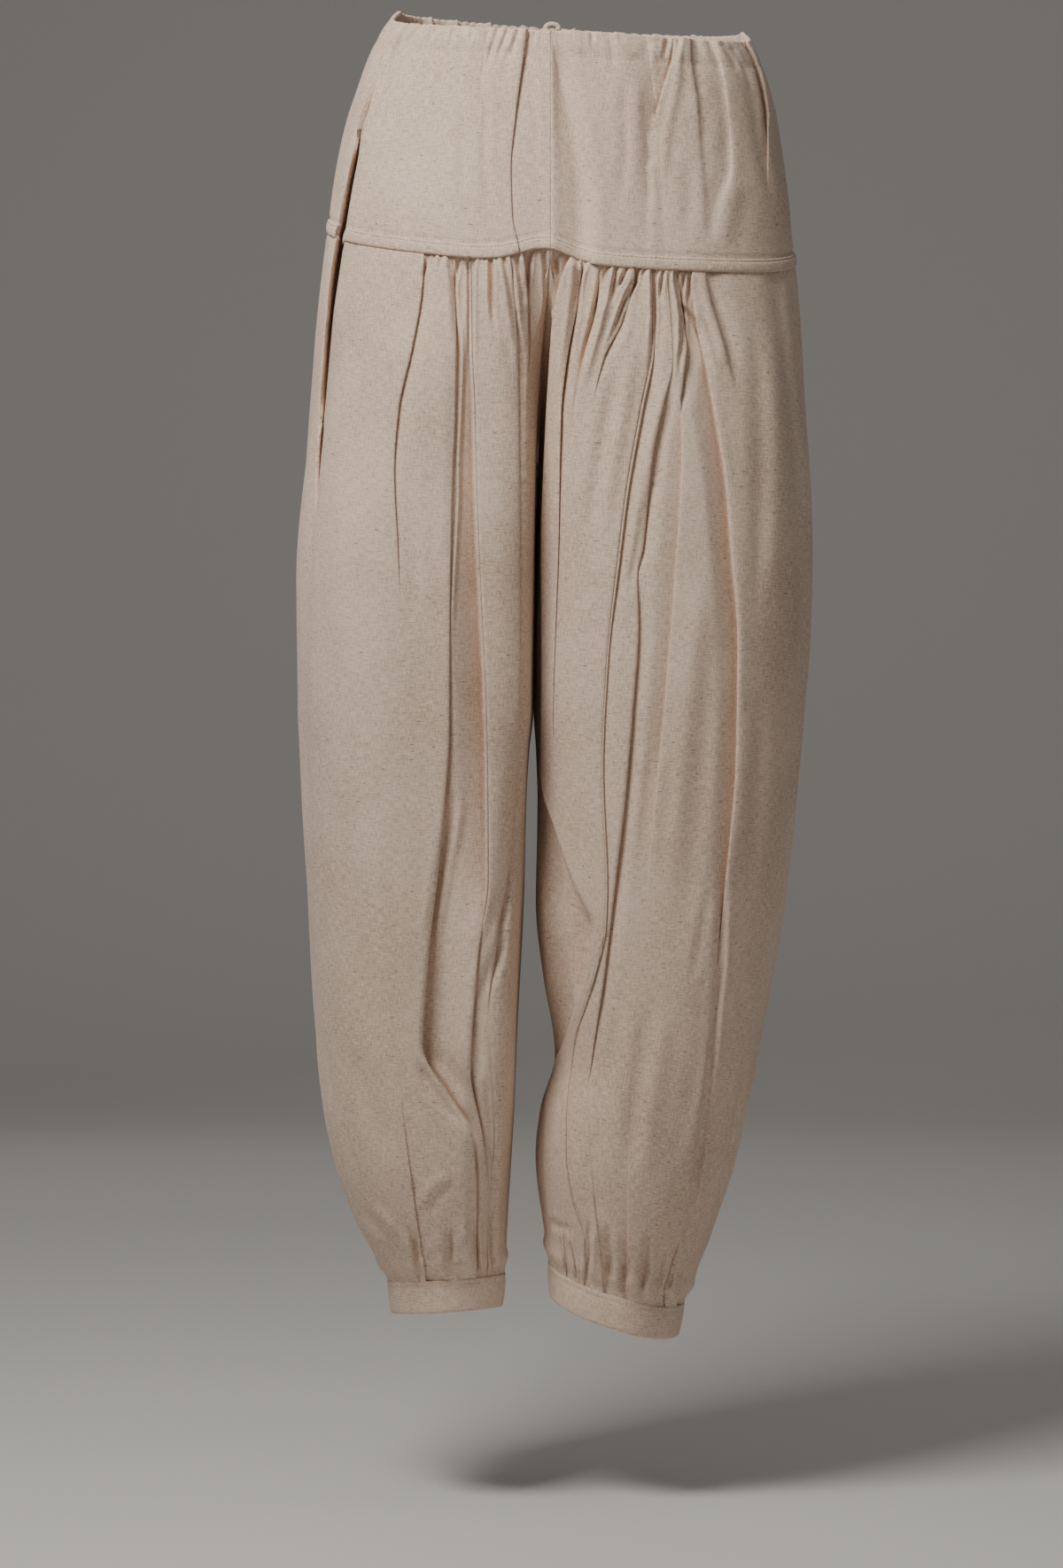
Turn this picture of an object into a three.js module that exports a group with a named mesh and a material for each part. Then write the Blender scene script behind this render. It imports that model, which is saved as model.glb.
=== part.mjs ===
// A salwar: wide gathered cotton trousers, filled out as they hang from the waist.
// Millimetres, Z up. The front faces -Y and the wearer's right is on the -X side.
// The origin is at the middle of the waist opening.
import * as THREE from "three";

// Cloth and sewing sizes
const CLOTH = 1.8; // wall of a single layer
const CASING = 4.2; // wall where the waist edge is turned in over its cord
const CASING_HEIGHT = 30;
const CASING_TAPER = 5;
const BAND_HEIGHT = 9; // topstitched strip along the foot of the yoke
const BAND = 1.2;
const CUFF = 2.6;
const CUFF_HEIGHT = 25;
const SEAM_GAP = 0.3; // left between two pieces that are sewn together

// Where the two halves of the garment meet
const CENTRE_SEAM_X = -16; // centre seams at the waist and yoke

// Heights of the waist edge, the yoke's foot and the cuffs. tilt is added towards the wearer's left,
// or the inner side of a leg, front and back towards those faces. A low bow dips soon past the side.
const WAIST_EDGE = { mean: 4, tilt: -8, front: -24, back: 10, bow: 0.45 };
const YOKE_FOOT = { mean: -164.5, tilt: -12.5, front: -27, back: -6, bow: 0.75 };
const SIDE_SOFTNESS = 0.12; // rounds the turn of an edge at the side
const YOKE_FOOT_LIFT = { height: 11, x: -20, reach: 26 }; // the foot rises over the centre pleat
const RIGHT_CUFF_EDGE = { mean: -941, tilt: 3, front: 4.5, back: -3 };
const LEFT_CUFF_EDGE = { mean: -944.5, tilt: 15, front: -5, back: 4 };

// The outline in front view: how far each side reaches from the origin's plane
const RIGHT_OUTLINE = [
  { z: 20, outer: -122, inner: -28.8 },
  { z: 7, outer: -134, inner: -28.8 },
  { z: -20, outer: -151, inner: -28.8 },
  { z: -47, outer: -161, inner: -28.8 },
  { z: -90, outer: -172.5, inner: -28.8 },
  { z: -153, outer: -182.5, inner: -28.8 },
  { z: -235, outer: -192, inner: -28.8 },
  { z: -315, outer: -198, inner: -28.8 },
  { z: -420, outer: -205.5, inner: -28.8 },
  { z: -515, outer: -205, inner: -28.9 },
  { z: -545, outer: -203.5, inner: -32 },
  { z: -600, outer: -201, inner: -35 },
  { z: -660, outer: -198, inner: -37 },
  { z: -740, outer: -193.5, inner: -40.5 },
  { z: -815, outer: -186, inner: -43 },
  { z: -850, outer: -178, inner: -45 },
  { z: -900, outer: -161, inner: -48 },
  { z: -943, outer: -139, inner: -50 },
  { z: -975, outer: -135, inner: -53 },
];
const LEFT_OUTLINE = [
  { z: 20, outer: 106, inner: -28.2 },
  { z: -5, outer: 130, inner: -28.2 },
  { z: -20, outer: 138, inner: -28.2 },
  { z: -47, outer: 148, inner: -28.2 },
  { z: -90, outer: 156.5, inner: -28.2 },
  { z: -180, outer: 167.5, inner: -28.2 },
  { z: -260, outer: 174.5, inner: -28.2 },
  { z: -393, outer: 180.5, inner: -28.2 },
  { z: -460, outer: 178.5, inner: -28.2 },
  { z: -515, outer: 174.5, inner: -28.1 },
  { z: -545, outer: 172, inner: -26.5 },
  { z: -607, outer: 166, inner: -25 },
  { z: -660, outer: 160, inner: -25.5 },
  { z: -713, outer: 152, inner: -20.5 },
  { z: -775, outer: 140, inner: -12 },
  { z: -815, outer: 131, inner: -23 },
  { z: -850, outer: 123, inner: -27 },
  { z: -910, outer: 105, inner: -20 },
  { z: -935, outer: 95, inner: -17 },
  { z: -960, outer: 85.5, inner: -16 },
  { z: -990, outer: 80, inner: -13 },
];

// The outline in side view, and how round the sections are: 2 is an ellipse, more is squarer
const SIDE_VIEW = [
  { z: 20, front: -93, back: 92, innerRound: 3, outerRound: 2.2 },
  { z: -20, front: -97, back: 99, innerRound: 3, outerRound: 2.2 },
  { z: -80, front: -105, back: 115, innerRound: 3, outerRound: 2.2 },
  { z: -165, front: -112, back: 124, innerRound: 3, outerRound: 2.3 },
  { z: -250, front: -117, back: 126, innerRound: 3.4, outerRound: 2.3 },
  { z: -350, front: -119, back: 124, innerRound: 3.4, outerRound: 2.3 },
  { z: -450, front: -118, back: 120, innerRound: 3.2, outerRound: 2.3 },
  { z: -600, front: -110, back: 115, innerRound: 2.8, outerRound: 2.2 },
  { z: -750, front: -99, back: 109, innerRound: 2.5, outerRound: 2.1 },
  { z: -850, front: -89, back: 99, innerRound: 2.3, outerRound: 2 },
  { z: -905, front: -74, back: 82, innerRound: 2.1, outerRound: 1.9 },
  { z: -945, front: -56, back: 66, innerRound: 2, outerRound: 1.75 },
  { z: -990, front: -54, back: 62, innerRound: 2, outerRound: 1.7 },
];

// How far the ring of the hips has parted into two legs, by the distance below the yoke's foot
const PARTING = [
  { drop: 0, share: 0 },
  { drop: 35, share: 0.2 },
  { drop: 75, share: 0.46 },
  { drop: 130, share: 0.7 },
  { drop: 220, share: 0.9 },
  { drop: 345, share: 1 },
];
const HIP_TO_LEG = 1.8; // above 1 the centre gathers spread out first where the ring parts

// Folds of the legs, from the centre outwards. Each row is one fold: at the heights z its edge runs
// through x, and past the edge the cloth drops by depth, away from the centre, or towards it where
// depth is negative. It comes back within reach. gathers counts the small ones between this fold
// and the one before it, plain the columns there if there are none, and edge is the least width of
// a soft step. A seam row is where two panels meet.
const RIGHT_FRONT = [
  {
    z: [-185, -220, -280, -400, -560, -700, -850, -945],
    x: [-38, -35, -34, -34, -40, -46, -52, -54],
    depth: [-6, -6, -3, -1, -1, -1, -1, -1.5],
    reach: 24, gathers: 2,
  },
  {
    z: [-185, -250, -330, -450, -540, -610, -680, -740, -830, -945],
    x: [-47, -42, -40, -39.5, -41, -45, -57, -62, -58, -59],
    depth: [-3, -3, -2, -3, -4, -6, -6, 0, -1, -2],
    reach: 12, gathers: 3,
  },
  {
    z: [-185, -250, -290, -350, -430, -500, -560, -640, -700, -780, -830, -880, -945],
    x: [-74, -73, -71, -69.5, -66.5, -63, -61.5, -61, -71, -77, -68, -63, -64],
    depth: [3, 4, 7, 10, 12, 12, 10, 5, -3, -5, -5, -4, -2],
    reach: 26, gathers: 4, seam: true,
  },
  {
    z: [-185, -250, -300, -350, -430, -530, -620, -700, -760, -800, -825, -870, -945],
    x: [-89, -84.5, -85.5, -88, -90, -92, -99, -108, -112, -92, -76, -72.5, -72],
    depth: [-3, -4, -4, -4, -4, -5, -9, -14, -18, -14, -8, -5, -3],
    reach: 40, gathers: 1,
  },
  {
    z: [-185, -215, -250, -300, -340, -400, -440, -780, -870, -945],
    x: [-109.5, -112, -118, -128.5, -131, -128, -126, -126, -118, -108],
    depth: [-3, -4, -4, -4, -3, -2, 0, 0, -2, -3],
    reach: 10, gathers: 4,
  },
  {
    z: [-175, -215, -245, -290, -325, -380, -450, -600, -780, -870, -945],
    x: [-172, -178, -182, -186, -190, -197, -195, -188, -176, -152, -127],
    depth: [12, 11, 9, 8, 6, 3, 0, 0, 0, 1, 2],
    reach: 16, plain: 5,
  },
];
const RIGHT_BACK = [
  {
    z: [-170, -250, -430, -600, -780, -945],
    x: [-42, -40, -42, -48, -54, -60],
    depth: [-2, -4, -3, -3, -2, -2],
    reach: 14, gathers: 2,
  },
  {
    z: [-170, -250, -330, -430, -600, -780, -945],
    x: [-66, -68, -66, -64, -66, -72, -74],
    depth: [3, 4, 6, 8, 7, 4, 2],
    reach: 22, gathers: 2, seam: true,
  },
  {
    z: [-170, -250, -330, -430, -600, -700, -780, -860, -945],
    x: [-92, -94, -98, -104, -108, -112, -106, -96, -88],
    depth: [-3, -5, -6, -6, -8, -10, -9, -4, -2],
    reach: 24, gathers: 2,
  },
  {
    z: [-170, -250, -330, -430, -600, -780, -945],
    x: [-118, -126, -138, -146, -146, -138, -108],
    depth: [3, 4, 4, 3, 2, 2, 2],
    reach: 12, gathers: 2,
  },
];
const LEFT_FRONT = [
  {
    z: [-185, -215, -250, -300, -450, -560, -610, -645, -675, -711, -763, -805, -850, -945],
    x: [0, -10, -15.5, -19, -23, -23, -10, 3, 16, 10, -7, -20, -22, -7],
    depth: [-5, -5, -5, -4, -2, -3, -9, -16, -23, -20, -6, -1, -1, -2],
    reach: 60, gathers: 4,
  },
  {
    z: [-185, -215, -263, -300, -390, -520, -560, -645, -675, -711, -763, -805, -850, -945],
    x: [5, 1.8, -6.5, -10, -11, -15, -14, 8, 18, 11.5, -5, -16, -16, -3],
    depth: [5, 5, 5, 4, 2, 1, 0, 0, 0, 0, 0, 0, 0, 1.5],
    reach: 10, gathers: 0,
  },
  {
    z: [-188, -220, -257, -300, -350, -430, -560, -645, -675, -711, -763, -805, -850, -945],
    x: [22.7, 20.5, 11, 2.5, -3, -4, -4, 13, 19.5, 12.7, -3.5, -12, -12, 1],
    depth: [-4, -5, -5, -4, -2, 0, 0, 0, 0, 0, 0, 0, 0, -1.5],
    reach: 12, gathers: 3,
  },
  {
    z: [-188, -210, -233, -262, -300, -430, -560, -645, -675, -711, -763, -805, -850, -945],
    x: [45, 41, 34, 21, 14, 10, 8, 18, 21, 13.8, -2, -8.5, -9, 4],
    depth: [3, 4, 4, 2, 0, 0, 0, 0, 0, 0, 0, 0, 0, 1.5],
    reach: 10, gathers: 5,
  },
  {
    z: [-190, -250, -300, -355, -407, -480, -560, -645, -675, -711, -767, -805, -840, -876, -909, -945],
    x: [58.5, 57.7, 48.8, 39, 32.4, 24.5, 21, 24, 23, 15, -0.5, -5, -5.6, -1, 8.5, 8],
    depth: [2, 3, 3, 3, 3, 2, 2, 2, 2, 2, 1, 1, 1.5, 1.5, 1.5, 1.5],
    reach: 8, gathers: 2, seam: true,
  },
  {
    z: [-190, -262, -295, -330, -398, -420, -450, -520, -582, -640, -697, -767, -800, -945],
    x: [67, 72, 64, 56, 48.7, 45.5, 46, 41, 35.6, 29, 22.5, 14, 11, 22],
    depth: [1, 0.5, 3, 4, 4, 2, 3, 4, 5, 6, 5, 2, 0, 2],
    reach: 10, gathers: 1,
  },
  {
    z: [-199, -233, -250, -276, -290, -302, -327, -420, -479, -525, -574, -607, -640, -800, -945],
    x: [74.8, 78.7, 80.6, 78, 76.7, 79.3, 80.6, 75.6, 71, 67, 62, 58.6, 56, 42, 41],
    depth: [3, 4, 5, 5, 3, -1, -3, -3, -3, -3, -3, -2, 0, 0, -2],
    reach: 12, gathers: 1,
  },
  {
    z: [-203, -233, -270, -314, -350, -400, -466, -553, -607, -660, -721, -787, -851, -891, -930, -945],
    x: [88, 92, 99.7, 107.3, 113, 117, 122, 121, 117, 111.5, 104.4, 96.3, 88.3, 84, 74, 70],
    depth: [-3, -4, -5, -5, -6, -6, -6, -5, -4, -4, -6, -8, -9, -8, -6, -4],
    reach: 14, edge: 8, gathers: 3,
  },
  {
    z: [-200, -219, -238, -263, -300, -400, -520, -660, -787, -891, -945],
    x: [94, 98, 104, 111, 119, 130, 134, 124, 108, 94, 78],
    depth: [2, 3, 3, 2, 0, 0, 0, 0, 0, 2, 3],
    reach: 16, edge: 7, gathers: 0,
  },
];
const LEFT_BACK = [
  {
    z: [-180, -250, -430, -600, -780, -945],
    x: [6, 2, -8, -4, 4, 2],
    depth: [-2, -4, -3, -3, -3, -2],
    reach: 14, gathers: 2,
  },
  {
    z: [-180, -250, -330, -430, -600, -780, -945],
    x: [30, 29, 24, 20, 20, 22, 18],
    depth: [3, 4, 6, 7, 6, 4, 2],
    reach: 20, gathers: 2, seam: true,
  },
  {
    z: [-180, -250, -330, -430, -600, -700, -780, -860, -945],
    x: [56, 58, 62, 66, 64, 62, 56, 48, 38],
    depth: [-3, -5, -6, -6, -7, -9, -8, -4, -2],
    reach: 22, gathers: 2,
  },
  {
    z: [-180, -250, -330, -430, -600, -780, -945],
    x: [84, 92, 106, 116, 112, 94, 58],
    depth: [3, 4, 4, 4, 3, 3, 2],
    reach: 14, gathers: 2,
  },
];
const LEG_ROWS = [
  0, 0.015, 0.05, 0.1, 0.16, 0.24, 0.33, 0.44, 0.55, 0.64, 0.71, 0.77, 0.83, 0.9, 0.965, 1,
];
const RIGHT_PLAIN = [2, 4]; // columns past the last fold in front, and past the last behind
const LEFT_PLAIN = [5, 5];

// Folds of the yoke, in the same form
const YOKE_RIGHT_FRONT = [
  {
    z: [0, -21, -61, -90, -120, -156, -180],
    x: [-34, -36, -40.6, -43.6, -46, -45, -40],
    depth: [-3, -4, -5, -6, -7, -8, -7],
    reach: 26, gathers: 1,
  },
  { z: [0, -45, -105, -180], x: [-56, -64, -68, -72], depth: [4, 2, 0, 0], reach: 10, gathers: 1 },
  { z: [0, -45, -105, -180], x: [-90, -95, -98, -100], depth: [3, 1, 0, 0], reach: 10, gathers: 1 },
  {
    z: [10, -31, -47, -60, -110, -180],
    x: [-108, -130, -135, -140, -150, -156],
    depth: [2, 5, 4, 2, 0, 0],
    reach: 8, gathers: 0,
  },
  {
    z: [10, -20, -45, -66, -90, -115, -138, -180],
    x: [-115, -137, -144, -149, -157, -163.6, -167.6, -173],
    depth: [3, 4, 5, 6, 9, 12, 13, 12],
    reach: 16, gathers: 0,
  },
];
const YOKE_RIGHT_BACK = [
  { z: [0, -45, -105, -180], x: [-38, -38, -39, -40], depth: [-3, -2, -1, 0], reach: 12, gathers: 1 },
  { z: [0, -45, -105, -180], x: [-62, -68, -72, -76], depth: [4, 3, 1, 0], reach: 10, gathers: 1 },
  { z: [0, -45, -105, -180], x: [-88, -98, -106, -112], depth: [3, 2, 1, 0], reach: 12, gathers: 1 },
  { z: [0, -45, -105, -180], x: [-108, -126, -138, -146], depth: [4, 3, 2, 1], reach: 10, gathers: 0 },
];
const YOKE_LEFT_FRONT = [
  {
    z: [0, -22, -55, -78, -108, -138, -180],
    x: [0, 2, 9, 14, 18.5, 22, 22],
    depth: [-2, -3, -5, -6, -7, -7, -6],
    reach: 18, edge: 18, gathers: 1,
  },
  { z: [0, -45, -105, -180], x: [30, 37, 43, 47], depth: [2, 2, 2, 1], reach: 16, gathers: 1 },
  {
    z: [0, -24, -38, -67, -98, -180],
    x: [78, 76.7, 75, 66, 60, 56],
    depth: [-4, -5, -4, -3, -3, -1],
    reach: 16, gathers: 2,
  },
  { z: [0, -33, -67, -130, -180], x: [85, 83.5, 88, 92, 96], depth: [4, 4, 2, 1, 0], reach: 12, gathers: 0 },
  {
    z: [0, -60, -117, -148, -180],
    x: [104, 117, 121, 112, 106],
    depth: [-2, -2, -3, -3, -2],
    reach: 14, edge: 10, gathers: 0,
  },
  {
    z: [0, -21, -38, -54, -73, -92, -137, -180],
    x: [120, 132, 140, 143.9, 146.4, 146, 146, 147],
    depth: [-3, -5, -5, -5, -4, -3, -2, -1],
    reach: 10, gathers: 0,
  },
];
const YOKE_LEFT_BACK = [
  { z: [0, -45, -105, -180], x: [4, 4, 4, 4], depth: [-3, -2, -1, 0], reach: 12, gathers: 1 },
  { z: [0, -45, -105, -180], x: [34, 38, 42, 46], depth: [4, 3, 1, 0], reach: 10, gathers: 1 },
  { z: [0, -45, -105, -180], x: [64, 74, 82, 88], depth: [3, 2, 1, 0], reach: 12, gathers: 1 },
  { z: [0, -45, -105, -180], x: [94, 114, 126, 134], depth: [4, 3, 2, 1], reach: 10, gathers: 0 },
];
const YOKE_ROWS = [0, 0.1, 0.22, 0.42, 0.62, 0.82];
const YOKE_PLAIN = [4, 5];

// Small gathers
const GATHER_SHARE = 0.24; // height of a gather, as a share of its width
const GATHER_MOST = 2.1;
const GATHER_RUN = { yoke: 34, cuff: 30, waist: 26 }; // how far they run out from the seam
const EDGE = { least: 2, share: 0.85 }; // width of the step at a fold's edge, by its depth
const SWELL = 0.25; // how far the cloth stands proud before the step, as a share of its depth
const SWELL_REACH = 7;
const CENTRE_CALM = 16; // folds die out this close to the centre seams

const RIGHT = -1;
const LEFT = 1;
const FRONT = 0;
const BACK = 1;
const clamp = (v) => Math.min(1, Math.max(0, v));
const mix = (a, b, t) => a + (b - a) * t;
const ease = (v) => clamp(v) ** 2 * (3 - 2 * clamp(v));
const power = (v, round) => Math.sign(v) * Math.abs(v) ** (2 / round);
const uneven = (k) => {
  const v = Math.sin(k * 12.9898) * 43758.5453;
  return v - Math.floor(v);
};

// A smooth curve through (keys, values) that never overshoots
function curve(keys, values) {
  const n = keys.length;
  const rise = keys.slice(1).map((k, i) => (values[i + 1] - values[i]) / (k - keys[i]));
  const slope = keys.map((_, i) => {
    if (i === 0) return rise[0];
    if (i === n - 1) return rise[n - 2];
    return rise[i - 1] * rise[i] <= 0 ? 0 : (2 * rise[i - 1] * rise[i]) / (rise[i - 1] + rise[i]);
  });
  const down = keys[n - 1] < keys[0];
  return (key) => {
    let i = 0;
    while (i < n - 2 && (down ? key < keys[i + 1] : key > keys[i + 1])) i++;
    const span = keys[i + 1] - keys[i];
    const t = clamp((key - keys[i]) / span);
    const a = mix(values[i], values[i + 1], t * t * (3 - 2 * t));
    return a + span * t * (1 - t) * (slope[i] * (1 - t) - slope[i + 1] * t);
  };
}
const column = (rows, key, by = "z") => curve(rows.map((r) => r[by]), rows.map((r) => r[key]));

const frontAt = column(SIDE_VIEW, "front");
const backAt = column(SIDE_VIEW, "back");
const innerRoundAt = column(SIDE_VIEW, "innerRound");
const outerRoundAt = column(SIDE_VIEW, "outerRound");
const partedAt = column(PARTING, "share", "drop");

// A half of the garment: its outlines and the folds of its yoke and leg
function makeHalf(side, outline, cuffEdge, yokeFolds, legFolds) {
  return {
    side,
    outer: column(outline, "outer"),
    inner: column(outline, "inner"),
    cuffEdge,
    yoke: yokeFolds.map(foldCurves),
    leg: legFolds.map(foldCurves),
  };
}
const foldCurves = (rows) =>
  rows.map((row) => ({ ...row, at: curve(row.z, row.x), deep: curve(row.z, row.depth) }));

// The ring of the hips. u runs from the centre front over the side to the centre back.
function ringAngle(half, u, z) {
  const seam = half.side * CENTRE_SEAM_X;
  const share = Math.abs(seam / half.outer(z)) ** (outerRoundAt(z) / 2);
  const start = Math.sign(seam) * Math.asin(share);
  return mix(start, Math.PI - start, u);
}
function ringPoint(half, u, z) {
  const angle = ringAngle(half, u, z);
  const round = outerRoundAt(z);
  const middle = (frontAt(z) + backAt(z)) / 2;
  const depth = (backAt(z) - frontAt(z)) / 2;
  return [
    half.side * Math.abs(half.outer(z)) * power(Math.sin(angle), round),
    middle - depth * power(Math.cos(angle), round),
  ];
}

// A leg's closed section. s runs from the inner seam over the front, outer side and back.
function legPoint(half, s, z) {
  const angle = 2 * Math.PI * s;
  const middle = (half.outer(z) + half.inner(z)) / 2;
  const reach = Math.abs(half.outer(z) - half.inner(z)) / 2;
  const round = Math.cos(angle) > 0 ? innerRoundAt(z) : outerRoundAt(z);
  const deep = (backAt(z) - frontAt(z)) / 2;
  return [
    middle - half.side * reach * power(Math.cos(angle), round),
    (frontAt(z) + backAt(z)) / 2 - deep * power(Math.sin(angle), round),
  ];
}

// The point of the ring that the point s of a leg hangs from
const ringShare = (s) => (s < 0.5 ? 0.5 * (2 * s) ** HIP_TO_LEG : 1 - 0.5 * (2 - 2 * s) ** HIP_TO_LEG);

// Height of an edge round the garment, at an angle from the front
function edgeHeight(edge, side, angle) {
  const facing = Math.cos(angle);
  const turned = Math.hypot(facing, SIDE_SOFTNESS) - SIDE_SOFTNESS;
  const share = turned / (Math.hypot(1, SIDE_SOFTNESS) - SIDE_SOFTNESS);
  const swing = facing > 0 ? edge.front * share ** edge.bow : edge.back * share;
  return edge.mean + edge.tilt * side * Math.sin(angle) + swing;
}
function yokeFootHeight(half, u) {
  const z = YOKE_FOOT.mean;
  const height = edgeHeight(YOKE_FOOT, half.side, ringAngle(half, u, z));
  const off = (ringPoint(half, u, z)[0] - YOKE_FOOT_LIFT.x) / YOKE_FOOT_LIFT.reach;
  return u < 0.5 ? height + YOKE_FOOT_LIFT.height * Math.exp(-off * off) : height;
}
const waistHeight = (half, u) => edgeHeight(WAIST_EDGE, half.side, ringAngle(half, u, 0));
function cuffHeight(half, s) {
  const { mean, tilt, front, back } = half.cuffEdge;
  const facing = Math.sin(2 * Math.PI * s);
  return mean + tilt * Math.cos(2 * Math.PI * s) + (facing > 0 ? front * facing : -back * facing);
}

// The two smooth bodies that the cloth lies on, as functions of a place round them and a height
function yokeBody(half) {
  return { half, folds: half.yoke, at: (u, z) => ringPoint(half, u, z) };
}
function legBody(half) {
  const at = (s, z) => {
    const u = ringShare(s);
    const parted = partedAt(Math.max(0, yokeFootHeight(half, u) - z));
    const ring = ringPoint(half, u, z);
    const leg = legPoint(half, s, z);
    return [mix(ring[0], leg[0], parted), mix(ring[1], leg[1], parted)];
  };
  return { half, folds: half.leg, at };
}

// Tangent, outward normal and stretch of a body's section
const STEP = 0.004;
function frameAt(body, s, z) {
  const a = body.at(Math.max(0, s - STEP), z);
  const b = body.at(Math.min(1, s + STEP), z);
  const run = Math.min(1, s + STEP) - Math.max(0, s - STEP);
  const length = Math.hypot(b[0] - a[0], b[1] - a[1]);
  const t = [(b[0] - a[0]) / length, (b[1] - a[1]) / length];
  const { side } = body.half;
  return { tangent: t, normal: [side * t[1], -side * t[0]], stretch: length / run };
}

// The place s on the front or back of a body where it reaches x
function placeAt(body, face, x, z) {
  let [near, far] = face === FRONT ? [0.01, 0.5] : [0.99, 0.5];
  for (let i = 0; i < 24; i++) {
    const s = (near + far) / 2;
    if ((body.at(s, z)[0] - x) * body.half.side < 0) near = s;
    else far = s;
  }
  return (near + far) / 2;
}

// One fold's profile: the cloth swells a little, drops over its edge, then comes back
const edgeWidth = (row, depth) => Math.max(row.edge ?? EDGE.least, EDGE.share * depth);
function foldProfile(row, distance, depth) {
  const edge = edgeWidth(row, depth);
  if (distance < 0) return SWELL * depth * Math.exp(distance / SWELL_REACH);
  if (distance < edge) return mix(SWELL * depth, -depth, ease(distance / edge));
  return -depth * (1 - ease((distance - edge) / row.reach));
}

// Small gathers: waves between one fold and the next, that run out away from the seams
function gatherHeight(count, phase, width, fade, key) {
  const k = Math.floor(phase);
  const rough = mix(uneven(key + k), uneven(key + k + 1), ease(phase - k));
  const height = Math.min(GATHER_MOST, GATHER_SHARE * width) * (0.55 + 0.6 * rough);
  return count > 0 ? -height * Math.cos(2 * Math.PI * phase) * fade(rough) : 0;
}

// How far the cloth stands off its body at a place and height
function relief(body, s, z, fade) {
  const face = s < 0.5 ? FRONT : BACK;
  const out = face === FRONT ? 1 : -1;
  let total = 0;
  let previous = face === FRONT ? 0 : 1;
  body.folds[face].forEach((row, i) => {
    const place = placeAt(body, face, row.at(z), z);
    const { stretch } = frameAt(body, place, z);
    const depth = row.deep(z);
    const past = (s - place) * out * stretch * (depth < 0 ? -1 : 1);
    total += foldProfile(row, past, Math.abs(depth));
    if ((s - previous) * (s - place) <= 0 && row.gathers) {
      const phase = ((s - previous) / (place - previous)) * (row.gathers + 1);
      const width = (Math.abs(place - previous) * stretch) / (row.gathers + 1);
      total += gatherHeight(row.gathers, phase, width, fade, 7 * i + out + 3 * body.half.side);
    }
    previous = place;
  });
  const toCentre = Math.min(s, 1 - s) * frameAt(body, s, z).stretch;
  return total * ease(toCentre / CENTRE_CALM);
}

// Columns of a face, from the centre to the outer side: the folds' edges and feet, each small
// gather's crest and trough, and the plain cloth beyond
function faceColumns(body, face, plain, heightAt) {
  const out = face === FRONT ? 1 : -1;
  const start = face === FRONT ? 0 : 1;
  const columns = [{ s: start }];
  const fill = (from, to, steps) => {
    for (let i = 1; i < steps; i++) columns.push({ s: mix(from, to, i / steps) });
  };
  body.folds[face].forEach((row) => {
    let place = mix(start, 0.5, 0.5);
    let z = heightAt(place);
    for (let i = 0; i < 3; i++) {
      z = heightAt(place);
      place = placeAt(body, face, row.at(z), z);
    }
    const depth = row.deep(z);
    const width = edgeWidth(row, Math.abs(depth)) * (depth < 0 ? -1 : 1);
    const step = (width / frameAt(body, place, z).stretch) * out;
    const edges = [place, place + step].sort((a, b) => (a - b) * out);
    fill(columns.at(-1).s, edges[0], row.plain ?? 2 * row.gathers + 2);
    columns.push({ s: edges[0], seam: row.seam }, { s: edges[1] });
  });
  fill(columns.at(-1).s, 0.5, plain + 1);
  return columns;
}
function ringColumns(body, plain, heightAt) {
  const front = faceColumns(body, FRONT, plain[FRONT], heightAt);
  const back = faceColumns(body, BACK, plain[BACK], heightAt).reverse();
  return [...front, { s: 0.5 }, ...back];
}

// A point of the cloth: its body's point, moved out by its relief and by off
function clothPoint(body, s, z, fade, off = 0) {
  const [x, y] = body.at(s, z);
  const { normal } = frameAt(body, s, z);
  const rise = relief(body, s, z, fade) + off;
  return new THREE.Vector3(x + normal[0] * rise, y + normal[1] * rise, z);
}

// A closed wall between two grids of points, outer and inner, each a list of rows
function wallGeometry(outer, inner, closedRing, side) {
  const rows = outer.length;
  const columns = outer[0].length;
  const points = [...outer.flat(), ...inner.flat()];
  const at = (layer, r, c) => (layer * rows + r) * columns + (c % columns);
  const index = [];
  const quad = (a, b, c, d) => index.push(...(side > 0 ? [a, b, c, a, c, d] : [a, c, b, a, d, c]));
  const across = closedRing ? columns : columns - 1;
  for (let r = 0; r < rows - 1; r++) {
    for (let c = 0; c < across; c++) {
      quad(at(0, r, c), at(0, r + 1, c), at(0, r + 1, c + 1), at(0, r, c + 1));
      quad(at(1, r, c), at(1, r, c + 1), at(1, r + 1, c + 1), at(1, r + 1, c));
    }
    if (closedRing) continue;
    quad(at(0, r, 0), at(1, r, 0), at(1, r + 1, 0), at(0, r + 1, 0));
    const last = columns - 1;
    quad(at(0, r, last), at(0, r + 1, last), at(1, r + 1, last), at(1, r, last));
  }
  for (let c = 0; c < across; c++) {
    quad(at(0, 0, c), at(0, 0, c + 1), at(1, 0, c + 1), at(1, 0, c));
    quad(at(0, rows - 1, c), at(1, rows - 1, c), at(1, rows - 1, c + 1), at(0, rows - 1, c + 1));
  }
  const geometry = new THREE.BufferGeometry().setFromPoints(points);
  geometry.setIndex(index);
  geometry.computeVertexNormals();
  return geometry;
}

// A wall over part of a body. places gives each row's columns, heights its z at a column.
function clothWall(body, places, heightAt, fade, { thick, off = 0, closedRing = false }) {
  const grid = (layer) =>
    places.map((row, r) =>
      row.map((s) => {
        const z = heightAt(r, s);
        return clothPoint(body, s, z, fade(s, z), off - layer * thick(s, z));
      }),
    );
  return wallGeometry(grid(0), grid(1), closedRing, body.half.side);
}

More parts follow.
